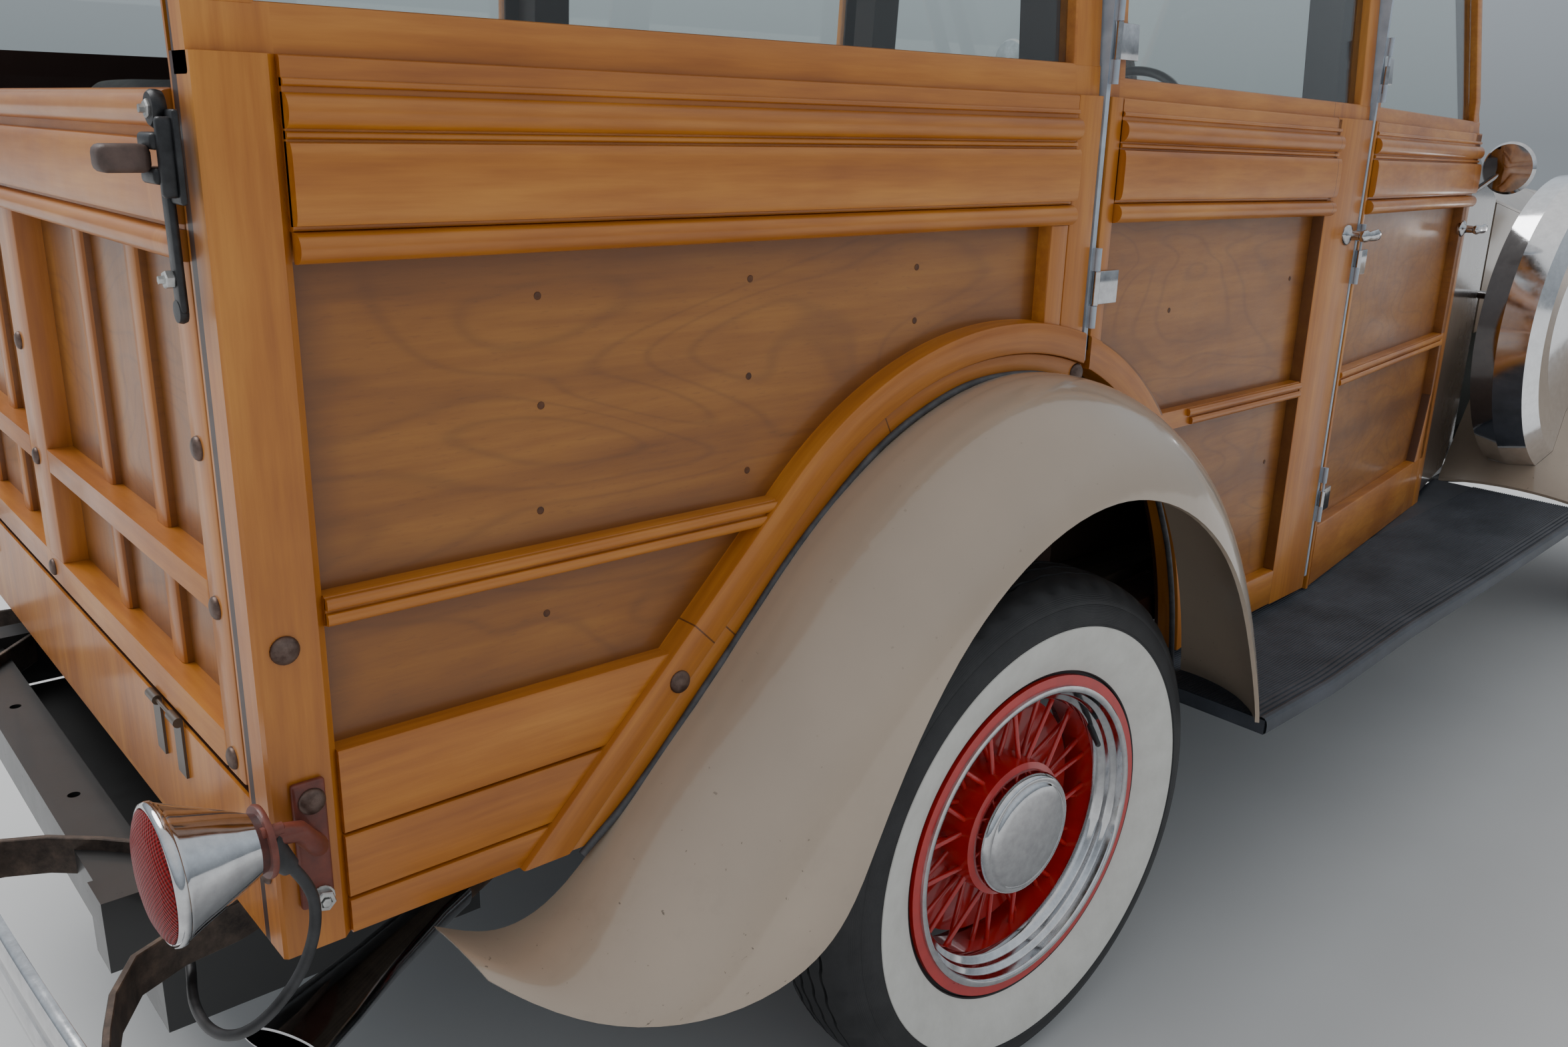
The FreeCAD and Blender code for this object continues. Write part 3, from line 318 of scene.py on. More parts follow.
def gate_wood(finish, station, side, level, z):
    bays = bays_of(level)
    (near, near_end), (far, far_end) = gate_battens
    battens = side.within(near, near_end) | side.within(far, far_end)
    panel = bays * side.within(gate_middle, gate_stile) * (1 - battens)
    edge = (side - gate_middle) & (gate_stile - side)
    edge = edge & (abs(side - 0.228) - 0.017) & (abs(side - 0.414) - 0.017)
    none = station * 0
    return panel, (side < gate_middle) | (side > gate_stile) | bays, none, edge, none, none, none


def frame_wood(finish, station, side, level, z):
    none = station * 0
    return none, z.within(0.53, 1.585), none, none + 1, none, none, none


def varnished(name, regions):
    """Varnished wood whose grain follows each member, as the regions of that piece say."""
    finish = Finish(name)
    vector, x, y, z = finish.place()
    station, side = x + axle_back, abs(y)
    past_c, past_b = station - c_post | 0, station - b_post | 0
    level = z + past_c * belt_fall
    skin = half_width - past_c * rear_door_taper - past_b * front_door_taper
    proud = side - skin + (z - sill_top | 0) * 0.061
    panel, upright, band, edge, along, out, joint = regions(finish, station, side, level, z)
    fine, long = 9, 0.6
    if name == "gate_maple":
        lying = finish.join(station * fine, y * long, z * fine)
    else:
        lying = finish.join(station * long, y * fine, z * fine)
    standing = finish.join(station * fine, y * fine, z * long)
    bent = finish.join(along * long, out * fine, y * fine)
    vectors = {"data_type": "VECTOR"}
    fibre_way = finish.add("ShaderNodeMix", vectors, {0: upright, 4: lying, 5: standing}, 1)
    fibre_way = finish.add("ShaderNodeMix", vectors, {0: band, 4: fibre_way, 5: bent}, 1)
    fibres = finish.noise(fibre_way, 14, 6, 0.62)
    streaks = finish.noise(fibre_way, 2.6, 3, 0.55, 0.3)
    cloud = finish.noise(vector, 5.5, 3, 0.5)
    tone = fibres * 0.30 + streaks * 0.45 + cloud * 0.25
    member = finish.ramp(tone, (0.32, (0.30, 0.082, 0.005)), (0.50, (0.45, 0.150, 0.014)),
                         (0.68, (0.61, 0.245, 0.032)))
    board = finish.ramp(tone, (0.30, (0.185, 0.054, 0.003)), (0.50, (0.300, 0.102, 0.008)),
                        (0.70, (0.410, 0.162, 0.016)))
    swirl = finish.noise(finish.join(station * 0.9, y, z * 2.6), 2.3, 1.5, 0.4, 0.6)
    rings = ((swirl * 95).sine() * 0.5 + 0.5) ** 9
    pores = finish.noise(finish.join(station * 60, y * 60, z * 420), 1.0, 2, 0.7).rise(0.60, 0.70)
    board = finish.mix(rings * 0.24, board, (0.10, 0.028, 0.003))
    board = finish.mix(pores * 0.22, board, (0.12, 0.035, 0.004))
    # Painted shade, with some old varnish gathered there: the panels darken within 42 mm of the rails,
    # stiles and battens that stand proud of them.
    for rail in (mid_high, round_low, mid_low, plank_top):
        edge = edge & abs(level - rail)
    shade_and_old_varnish = 1 - (edge + (cloud - 0.5) * 0.03).rise(0.0, 0.042)
    board = finish.mix(shade_and_old_varnish * 0.55, board, (0.135, 0.038, 0.0035))
    colour = finish.mix(panel, member, board)
    colour = finish.mix(joint * 0.75, colour, (0.05, 0.014, 0.003))
    # Painted shade: the faces deep inside the body are made near-black brown and given less coat.
    if name == "gate_maple":
        inner_shade = station > -0.8775
    elif name == "post_maple":
        inner_shade = (proud < -0.03) * (station > -0.912)
    else:
        inner_shade = proud < -0.0335
    colour = finish.mix(inner_shade, colour, (0.040, 0.013, 0.0065))
    if name == "post_maple":
        gate_hinges = station < -0.9158
        colour = finish.mix(gate_hinges, colour, (0.075, 0.050, 0.032))
    worn = finish.noise(vector, 26, 5, 0.6)
    relief = finish.bump(fibres + rings * panel * 0.15, 0.10, 0.0006)
    return finish.surface(Base_Color=colour, Roughness=finish.choose(worn, 0.52, 0.36),
                          Coat_Weight=0.32 - inner_shade * 0.2, Coat_Roughness=0.16, Normal=relief)


# Boards: every member of the sides is a separate piece of wood with eased edges. The panels lie 20 mm deep
# between them, and the belt's mouldings end against the corner and middle posts.
def other_side(form):
    points, faces = form
    return [(x, -y, z) for x, y, z in points], faces


def same_side(form):
    return form


hands = (("left", 1, same_side), ("right", -1, other_side))


def together(parts):
    points, faces = [], []
    for more, sides in parts:
        faces += [tuple(i + len(points) for i in face) for face in sides]
        points += more
    return points, faces


def made(name, form, material, body="root", sharp=35):
    """A piece of the car from points and faces in its frame, that rides on a body."""
    points, faces = form
    mesh = bpy.data.meshes.new(name)
    mesh.from_pydata([tuple(p) for p in points], [], faces)
    work = bmesh.new()
    work.from_mesh(mesh)
    bmesh.ops.recalc_face_normals(work, faces=work.faces)
    work.to_mesh(mesh)
    work.free()
    mesh.shade_smooth()
    mesh.set_sharp_from_angle(angle=math.radians(sharp))
    mesh.materials.append(material)
    piece = bpy.data.objects.new(name, mesh)
    bpy.context.scene.collection.objects.link(piece)
    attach(piece, body)
    return piece


def skin_at(station):
    """Half the width of the body, which narrows over the rear door and again over the front one."""
    past_c, past_b = max(0, station - c_post), max(0, station - b_post)
    return half_width - past_c * rear_door_taper - past_b * front_door_taper


def spot(station, level, out):
    """Point of the side from its station, its level before the belt's fall, and its way out of the skin."""
    share = foot_fall if level < 0.48 else belt_fall if level < 1.3 else 0
    return (station - axle_back, skin_at(station) + out - max(0, level - sill_top) * lean_in,
            level - max(0, station - c_post) * share)


def loft(rings):
    """Closed rings of points joined in turn, with an end face on the first and the last."""
    count = len(rings[0])
    points = [point for ring in rings for point in ring]
    faces = [tuple(range(count)), tuple(range(len(points) - count, len(points)))]
    for a in range(0, len(points) - count, count):
        for i in range(count):
            j = (i + 1) % count
            faces.append((a + i, a + j, a + count + j, a + count + i))
    return points, faces


def eased(low, high, back=-0.040, face=0.0, edge=0.0028):
    """Section of a board between two lines, with its face edges rounded: pairs across and outward."""
    return ((low, back), (low, face - edge), (low + edge * 0.3, face - edge * 0.3), (low + edge, face),
            (high - edge, face), (high - edge * 0.3, face - edge * 0.3), (high, face - edge), (high, back))


def mould(low, high, out, power=2.0):
    """Section of a moulding that swells out between two levels; a higher power makes it flatter."""
    ring = [(low, -0.004)]
    for i in range(13):
        t = -math.cos(math.pi * i / 12)
        swell = out * (1 - abs(t) ** power) ** (1 / power)
        ring.append(((low + high) / 2 + t * (high - low) / 2, swell + 0.0003))
    return ring + [(high, -0.004)]


def lying(start, end, section):
    return loft([[spot(station, level, out) for level, out in section] for station in (start, end)])


def upright(levels, section, lean=lambda level: 0.0):
    return loft([[spot(station + lean(level), level, out) for station, out in section] for level in levels])


def arch_height(radius, station):
    """Level of the wheel arch at a station: a straight tail, an arc, and a wider arc before it."""
    across = station - arch_x
    if across < -radius * slant:
        return arch_z + across + radius * diagonal
    if across < radius * slant:
        return arch_z + math.sqrt(radius ** 2 - across ** 2)
    return arch_z - arch_shift + math.sqrt(max(0, (radius + arch_more) ** 2 - (across + arch_shift) ** 2))


def over_arch(radius, start, end, low, high, back, face, edge=0.0):
    """Lying board whose lower edge is cut to the wheel arch."""
    rings, steps = [], 40
    for i in range(steps + 1):
        station = start + (end - start) * i / steps
        foot = arch_height(radius, station) + max(0, station - c_post) * belt_fall
        foot = min(high - 0.001, max(low, foot))
        rings.append([spot(station, level, out) for level, out in eased(foot, high, back, face, edge)])
    return loft(rings)


def arch_band(inner, outer, first, last, face, side_limit, widen=0.0):
    """Bent rail round the wheel arch, from one angle to another; past 135 degrees it runs down the tail."""
    rings, steps = [], 48
    for i in range(steps + 1):
        turn = first + (last - first) * i / steps
        more, shift = (arch_more, arch_shift) if turn < 45 else (0, 0)
        ring = []
        for radius, out in eased(inner, outer + widen * (1 - i / steps), -0.040, face, 0.0025):
            angle, tail = math.radians(min(turn, 135)), max(0, turn - 135) / 45 * (radius - 0.0099)
            across = (radius + more) * math.cos(angle) - shift - tail * slant
            up = (radius + more) * math.sin(angle) - shift - tail * slant
            station = side_limit(across + arch_x)
            z = arch_z + up if station == across + arch_x else arch_height(radius, station)
            ring.append((station - axle_back, skin_at(station) + out, z))
        rings.append(ring)
    return loft(rings)


def belt(start, end):
    """Backing rail with its mouldings: wide rail, cap, half-round and three beads."""
    sections = (eased(round_high, sill_top), mould(1.143, 1.205, 0.0105, 5), mould(1.214, 1.240, 0.0110),
                mould(round_low, round_high, 0.0120), mould(1.2065, 1.2125, 0.0030),
                mould(1.244, 1.250, 0.0030))
    return [lying(start, end, section) for section in sections]


def middle_rail(rail, lower_start, upper_start, end):
    """Flat rail with the two beads that run along it."""
    return [rail, lying(lower_start, end, mould(0.8195, 0.8300, 0.0030)),
            lying(upper_start, end, mould(0.8330, 0.8435, 0.0030))]


def window_ring(start, end, bar, top=1.583, lean=lambda level: 0.0):
    """Frame of a window above the belt, set 8 mm in."""
    bottom, back, face = 1.250, -0.038, -0.008
    parts = [lying(start, end, eased(bottom, bottom + bar, back, face)),
             loft([[spot(station, level, out) for level, out in eased(top - bar, top, back, face)]
                   for station in (start, end + lean(top - bar / 2))])]
    for low, high, share in ((start, start + bar, 0), (end - bar, end, 1)):
        parts.append(upright((bottom + bar - 0.002, 1.301, top - bar + 0.002), eased(low, high, back, face),
                             (lambda level: lean(level) * share)))
    return parts


# Quarters: the fixed sides behind the rear doors. A panel, three planks below it, the bent rails of the
# wheel arch, and the bevelled corner post that the tailgate closes against.
rail_back, rail_face, panel_face, frame_back = -0.038, -0.0025, -0.020, -0.040
tail_x, body_foot = -0.915, 0.524
corner_post = ((tail_x, -0.045), (tail_x, -0.003), (-0.912, 0), (-0.861, 0), (corner_edge, -0.008),
               (corner_edge, -0.045))
quarter_boards = [upright((body_foot, sill_top), corner_post),
                  over_arch(0.455, -0.856, 0.10, body_foot, round_high, frame_back, panel_face),
                  upright((0.955, sill_top), eased(0.0975, quarter_end)),
                  upright((0.960, 1.1145), eased(0.0645, 0.0970))]
mid_section = eased(mid_low, mid_high, rail_back, rail_face)
rail = lying(corner_edge, -0.3440, mid_section)
quarter_boards += middle_rail(rail, -0.3500, -0.3450, corner_edge)
for inner, outer, first, face in ((0.4485, 0.486, 70.5, 0.0065), (0.424, 0.448, 69.2, 0.0025)):
    quarter_boards.append(arch_band(inner, outer, first, 180, face, lambda place: min(place, quarter_end)))
plank_arch = 0.465
for low, high in ((body_foot, 0.5575), (0.5605, 0.6215), (0.6245, 0.7045)):
    plank_end = high - arch_z + arch_x - plank_arch * diagonal
    quarter_boards.append(over_arch(plank_arch, corner_edge, plank_end, low, high, rail_back, -0.0015,
                                    0.0022))
quarter_boards += belt(corner_edge, 0.0965) + window_ring(tail_x, quarter_end, 0.052, 1.589)
quarter_maple = varnished("quarter_maple", quarter_wood)
for hand, side, turn in hands:
    form = turn(together(quarter_boards))
    boards = made("quarter_boards_" + hand, form, quarter_maple)
    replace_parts(boards, "quarter_panels")


# Small forms of the body's fittings, turned about an axis or pressed from plate.
def turned(profile, foot, axis, around=24):
    """Points and faces of a form turned about an axis, from pairs of radius and place along it."""
    axis = Vector(axis).normalized()
    first = axis.orthogonal().normalized()
    second = axis.cross(first)
    points, faces, rings = [], [], []
    for radius, along in profile:
        centre = Vector(foot) + axis * along
        if radius < 1e-6:
            rings.append([len(points)])
            points.append(centre)
            continue
        rings.append(list(range(len(points), len(points) + around)))
        for i in range(around):
            angle = 2 * math.pi * i / around
            points.append(centre + (first * math.cos(angle) + second * math.sin(angle)) * radius)
    for a, b in zip(rings, rings[1:]):
        for i in range(around):
            j = (i + 1) % around
            if len(a) == 1:
                faces.append((a[0], b[i], b[j]))
            elif len(b) == 1:
                faces.append((a[i], a[j], b[0]))
            else:
                faces.append((a[i], a[j], b[j], b[i]))
    return points, faces


def aged(name, low, high, metal, smooth, rough, pitting=0.15):
    """Plain or plated metal gone dull in patches."""
    finish = Finish(name)
    vector = finish.place()[0]
    patches = finish.noise(vector, 60, 6, 0.65)
    colour = finish.ramp(patches, (0.35, low), (0.66, high))
    shine = patches.rise(0.2, 0.8) * (rough - smooth) + smooth
    return finish.surface(Base_Color=colour, Metallic=metal, Roughness=shine,
                          Normal=finish.bump(finish.noise(vector, 420, 4), pitting, 0.0004))


# Doors: framed and panelled like the quarters, hinged at their rear edges on plated strap hinges, with a
# window frame above the belt. The front door's leading edge leans back beside the windshield.
def front_edge(level):
    """How far the front door's front edge is from its line at the belt."""
    return -0.150 * max(0, level - 1.250) / 0.333


def rear_door_boards():
    start, end = rear_door["panel"]
    rear, front = rear_door["start"], rear_door["end"]
    rail = over_arch(0.480, 0.345, end, mid_low, mid_high, rail_back, rail_face)
    return [upright((0.955, sill_top), eased(rear, start)), upright((0.444, sill_top), eased(end, front)),
            lying(0.505, end, eased(0.444, 0.511)), *middle_rail(rail, 0.46, 0.45, end),
            over_arch(0.470, 0.186, 0.832, 0.500, round_high, frame_back, panel_face),
            arch_band(0.4460, 0.486, 6.6, 70.9, 0.0025, lambda place: max(place, rear), 0.023),
            *belt(start, rear_door["belt_end"]), *window_ring(rear, front, 0.040)]


def front_door_boards():
    start, end = front_door["panel"]
    rear, front = front_door["start"], front_door["end"]
    curved = [[spot(station, level, out) for station, out in eased(front_curve(level), 1.7590, rail_back)]
              for level in [0.561 + i * 0.0277 for i in range(21)]]
    return [upright((0.436, sill_top), eased(rear, start)), upright((0.430, sill_top), eased(end, front)),
            lying(start, end, eased(0.438, 0.561)), loft(curved),
            lying(0.994, 1.7400, eased(0.500, round_high, frame_back, panel_face, 0)),
            *middle_rail(lying(start, end, mid_section), start, start, end),
            *belt(start, front_door["belt_end"]), *window_ring(rear, front, 0.040, 1.583, front_edge)]


def door_handle(station, level):
    """Turned rose and shaft with a leaf-shaped lever that points forward."""
    x, y, z = spot(station, level, 0)
    rose = turned(((0.0001, -0.004), (0.0170, -0.004), (0.0175, 0.002), (0.0150, 0.0050), (0.0095, 0.0070),
                   (0.0080, 0.0110), (0.0075, 0.030), (0, 0.030)), (x, y, z), (0.09, 1, 0), 28)
    leaf = ((-0.014, 0.002, 0.003, 0), (-0.011, 0.0085, 0.011, 0), (0.002, 0.0105, 0.012, 0),
            (0.018, 0.0080, 0.009, 0.001), (0.036, 0.0090, 0.008, 0.001), (0.054, 0.0100, 0.007, 0.0),
            (0.066, 0.0080, 0.006, 0.001), (0.071, 0.002, 0.002, 0.001))
    rings = []
    for along, wide, thick, drop in leaf:
        rings.append([(x + along, y + 0.031 - along * 0.1 + thick * math.cos(2 * math.pi * i / 16) * 0.55,
                       z + wide * math.sin(2 * math.pi * i / 16) - drop) for i in range(16)])
    return together((rose, loft(rings)))


def strap_hinges(hinge_at, levels):
    """Turned knuckle and flat strap at each hinge."""
    parts = []
    knuckle = ((0.0001, 0.029), (0.0042, 0.029), (0.0042, 0.071), (0.0001, 0.071))
    for low in levels:
        parts.append(turned(knuckle, spot(hinge_at + 0.0015, low, 0.006), (0, 0, 1), 16))
        strap = eased(low + 0.029, low + 0.071, -0.002, 0.0038, 0.001)
        parts.append(lying(hinge_at + 0.002, hinge_at + 0.056, strap))
    return together(parts)


bright_metal = aged("door_chrome", (0.42, 0.42, 0.43), (0.60, 0.60, 0.61), 1.0, 0.07, 0.16, 0.02)
for end, boards, regions, hinge_at, rose, hinges in (
        ("rear", rear_door_boards(), rear_door_wood, c_post, (0.925, 1.083), (0.985, 1.280)),
        ("front", front_door_boards(), front_door_wood, b_post, (1.742, 1.070), (0.560, 0.985, 1.280))):
    wood = varnished(end + "_door_maple", regions)
    handle, straps = door_handle(*rose), strap_hinges(hinge_at, hinges)
    for hand, side, turn in hands:
        body = "door_%s_%s" % (end, hand)
        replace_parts(made(body + "_boards", turn(together(boards)), wood, body), body)
        made(body + "_handle", turn(handle), bright_metal, body, 50)
        made(body + "_straps", turn(straps), bright_metal, body)


# Tailgate: a drop gate framed like the doors, with a wide middle stile and two raised battens on each panel.
# It carries the belt's mouldings across the back. The posts and rails of the body behind it are maple too.
gate_face = tail_x - axle_back


def gate_board(y0, y1, z0, z1, out, edge=0.0028, back=0.035):
    """Board of the tailgate whose face stands out of the frame's plane by a distance."""
    section = eased(y0, y1, -back, out, edge)
    return loft([[(gate_face - depth, y, z) for y, depth in section] for z in (z0, z1)])


def gate_mould(z0, z1, out, power=2.0):
    section = mould(z0, z1, out, power)
    return loft([[(gate_face - depth, y, z) for z, depth in section] for y in (-gate_half, gate_half)])


gate_foot = 0.670
gate_parts = [gate_board(-gate_half, -gate_stile, gate_foot, round_high, 0),
              gate_board(gate_stile, gate_half, gate_foot, round_high, 0),
              gate_board(-gate_middle, gate_middle, plank_top, round_low, 0),
              gate_board(-gate_stile, gate_stile, gate_foot, 0.7048, 0),
              gate_board(-gate_half, gate_half, 1.1392, 1.241, 0),
              gate_board(-0.604, 0.604, 0.700, round_high, -0.028, 0, 0.045),
              gate_mould(1.143, 1.205, 0.0105, 5), gate_mould(1.213, 1.240, 0.0110),
              gate_mould(round_low, round_high, 0.0120)]
for side in (1, -1):
    for edges in gate_battens:
        y0, y1 = sorted(side * edge for edge in edges)
        for z0, z1 in ((0.7052, 0.8178), (0.8452, 1.1148)):
            gate_parts.append(gate_board(y0, y1, z0, z1, -0.018, 0.004, 0.040))
    y0, y1 = sorted((side * 0.0422, side * 0.5998))
    gate_parts.append(gate_board(y0, y1, mid_low, mid_high, 0))
gate_maple = varnished("gate_maple", gate_wood)
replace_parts(made("gate_boards", together(gate_parts), gate_maple, "tailgate"), "tailgate")
dressed(("wood_frame",), varnished("post_maple", frame_wood))


# Bolts of the body: round-headed carriage bolts through the posts and stiles, plated once and now brown,
# and small dark wooden plugs over the screws that hold the side panels to the ribs behind them.
def domed(at, axis, radius, height):
    """Round-headed bolt with a narrow flat rim."""
    profile = ((radius * 0.96, -0.001), (radius, 0.0004), (radius * 0.97, height * 0.35),
               (radius * 0.86, height * 0.62), (radius * 0.62, height * 0.86), (radius * 0.3, height * 0.98),
               (0, height))
    return turned(profile, at, axis, 20)


brown_bolt = aged("brown_bolt", (0.075, 0.045, 0.035), (0.20, 0.14, 0.115), 0.75, 0.34, 0.55)
for hand, side, turn in hands:
    heads = [domed((station - axle_back, side * y, z), (0, side, 0), 0.0125, 0.006) for station, y, z in
             ((-0.890, 0.700, 0.808), (-0.497, 0.706, 0.674), (0.134, 0.702, 0.929))]
    heads.append(domed((gate_face, side * 0.676, 0.60), (-1, 0, 0), 0.0105, 0.005))
    made("body_bolts_" + hand, together(heads), brown_bolt)
gate_heads = [domed((gate_face, y, z), (-1, 0, 0), 0.0105, 0.0055)
              for y in (-0.619, 0.012, 0.619) for z in (0.964, 0.826, 0.686)]
made("gate_bolts", together(gate_heads), brown_bolt, "tailgate")
plug_wood = aged("plug_wood", (0.06, 0.018, 0.004), (0.14, 0.045, 0.008), 0, 0.4, 0.6)
plug_form = ((0.0036, -0.0012), (0.0038, 0.0002), (0.0031, 0.0006), (0.0012, 0.0002), (0, 0.0001))
plug_places = ((-0.634, 1.075), (-0.390, 1.076), (-0.148, 1.075), (-0.634, 0.976), (-0.390, 0.977),
               (-0.147, 1.015), (-0.638, 0.877), (-0.390, 0.877), (-0.635, 0.774))
plugs = [turned(plug_form, (station - axle_back, side * (half_width + panel_face), z), (0, side, 0), 12)
         for side in (1, -1) for station, z in plug_places]
made("panel_plugs", together(plugs), plug_wood)
for hand, side, turn in hands:
    plugs = []
    for along, z in ((0.24, 0.985), (0.62, 1.005), (0.62, 0.70), (0.40, 0.66)):
        y = half_width - along * 0.0728 + panel_face
        plugs.append(turned(plug_form, (c_post + along - axle_back, side * y, z), (0.0728, side, 0), 12))
    made("rear_door_plugs_" + hand, together(plugs), plug_wood, "door_rear_" + hand)


# Steel body: fenders and hood pressed from sheet and sprayed warm tan, cowl a dark brown.
# The paint is glossy over the crown and scuffed low down behind the wheel, where stones hit it.
def sprayed(name, colour, wear, gloss=0.9):
    finish = Finish(name)
    vector, x, y, z = finish.place()
    tone = finish.noise(vector, 3.2, 4, 0.55)
    dull = finish.noise(vector, 17, 6, 0.7)
    dim, full = (tuple(min(1, c * share) for c in colour) for share in (0.90, 1.07))
    base = finish.ramp(tone, (0.3, dim), (0.7, full))
    low = (0.72 - z).rise(0.0, 0.35)
    drift = finish.noise(vector, 6, 3, 0.6)
    cluster = drift.rise(0.56, 0.66) * low
    scratches = finish.noise(finish.join(x * 14 + z * 30, y * 20, z * 90 - x * 30), 2.4, 4, 0.75)
    dashes = scratches.rise(0.655, 0.69) * cluster
    specks = finish.noise(vector, 150, 2, 0.5).rise(0.735, 0.76) * (low * 0.75 + 0.25)
    marks = (dashes | specks) * wear
    base = finish.mix(marks * 0.8, base, tuple(c * 0.16 for c in colour))
    film = (dull.rise(0.5, 0.8) * low) * wear
    base = finish.mix(film * 0.25, base, tuple(c * 0.6 for c in colour))
    rough = 0.30 + dull * 0.16 + marks * 0.3
    relief = finish.bump(finish.noise(vector, 9, 2), 0.04, 0.004, finish.bump(marks, 0.2, -0.0004))
    return finish.surface(Base_Color=base, Roughness=rough, Coat_Weight=gloss - marks * gloss,
                          Coat_Roughness=0.10, Normal=relief)


tan_paint = sprayed("tan_paint", (0.43, 0.335, 0.25), 1.0)
dressed(("front_fenders", "rear_fenders", "hood_top_left", "hood_top_right", "hood_side_left",
         "hood_side_right", "radiator_shell"), tan_paint)
brown_paint = sprayed("brown_paint", (0.055, 0.034, 0.025), 0.4)
dressed(("cowl", "dashboard"), brown_paint)
black_paint = sprayed("black_paint", (0.018, 0.018, 0.018), 0.6, 0.25)
dressed(("chassis_frame", "rear_axle", "front_axle", "knuckle_left", "knuckle_right"), black_paint)

# Welt between fender and wood: a thin cord of black cloth-covered rubber pinched in the joint.
welt_route = ((0.484, 0.423), (0.453, 0.560), (0.399, 0.682), (0.296, 0.817), (0.154, 0.905),
              (-0.004, 0.941), (-0.160, 0.911), (-0.304, 0.817), (-0.450, 0.671), (-0.560, 0.561),
              (-0.618, 0.517))
dark_welt = rubbered("dark_welt", (0.035, 0.034, 0.036), 0.55)
for hand, side, turn in hands:
    line = bpy.data.curves.new("fender_welt_" + hand, "CURVE")
    line.dimensions, line.bevel_depth, line.bevel_resolution = "3D", 0.0042, 3
    run = line.splines.new("BEZIER")
    run.bezier_points.add(len(welt_route) - 1)
    for point, (x, z) in zip(run.bezier_points, welt_route):
        y = 0.7048 - max(0, x - 0.154) * 0.073
        point.co = (x - axle_back, side * y, z)
        point.handle_left_type = point.handle_right_type = "AUTO"
    line.materials.append(dark_welt)
    welt = bpy.data.objects.new("fender_welt_" + hand, line)
    bpy.context.scene.collection.objects.link(welt)
    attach(welt, "root")

# Wheels: welded steel spokes on a pressed rim and a brake drum, sprayed signal red, with a plated hub cap,
# a plated stepped trim ring and a rubber valve stem.
wheel_places = (("rear", 0.0, 0.740), ("front", 2.845, 0.705))
hub_height = 0.350
chrome = aged("chrome", (0.50, 0.50, 0.51), (0.64, 0.64, 0.65), 1.0, 0.06, 0.13, 0.01)
for hand, side, turn in hands:
    for end, station, y in wheel_places:
        body = "wheel_%s_%s" % (end, hand)
        hub = Vector((station - axle_back, side * y, hub_height))
        finish = Finish("red_enamel_%s_%s" % (end, hand))
        vector, px, py, pz = finish.place()
        dirt_and_shade = finish.noise(vector, 30, 5, 0.6)
        # Painted shade mixed with dirt: the red darkens in patches deeper into the wheel, towards the drum.
        depth = 1 - (py * side - (y - 0.03)).rise(0.0, 0.05)
        red = finish.ramp(dirt_and_shade, (0.3, (0.43, 0.008, 0.006)), (0.7, (0.56, 0.016, 0.012)))
        red = finish.mix(depth * dirt_and_shade * 0.5, red, (0.12, 0.004, 0.004))
        grain = finish.bump(finish.noise(vector, 160, 2), 0.03, 0.0006)
        dressed((body,), finish.surface(Base_Color=red, Roughness=0.22 + dirt_and_shade * 0.16, Coat_Weight=0.8,
                                        Coat_Roughness=0.07, Normal=grain))
        axis = (0, side, 0)
        ring = turned(((0.1765, 0.0225), (0.1785, 0.0290), (0.1800, 0.0315), (0.1870, 0.0345),
                       (0.1882, 0.0365), (0.1885, 0.0420), (0.1900, 0.0445), (0.1955, 0.0470),
                       (0.1966, 0.0490), (0.1970, 0.0575), (0.1985, 0.0602), (0.2030, 0.0612),
                       (0.2062, 0.0600), (0.2068, 0.0568)), hub, axis, 96)
        made("trim_ring_%s_%s" % (end, hand), ring, chrome, body, 50)
        cap = turned(((0.0840, 0.0325), (0.0844, 0.0440), (0.0832, 0.0485), (0.0800, 0.0522),
                      (0.0765, 0.0535), (0.0745, 0.0528), (0.0732, 0.0532), (0.0715, 0.0552),
                      (0.0680, 0.0575), (0.0600, 0.0592), (0.0450, 0.0612), (0.0250, 0.0628), (0.0, 0.0634)),
                     hub, axis, 72)
        made("hub_cap_%s_%s" % (end, hand), cap, chrome, body, 60)
        stem_at = hub + Vector((0.150, side * 0.026, 0.104))
        lean = Vector((-0.5, side * 0.8, -0.35))
        stem = turned(((0.0040, -0.004), (0.0044, 0.010), (0.0042, 0.026), (0.0038, 0.030), (0.0038, 0.038),
                       (0.0030, 0.040), (0, 0.040)), stem_at, lean, 16)
        made("valve_stem_%s_%s" % (end, hand), stem, black_rubber, body)


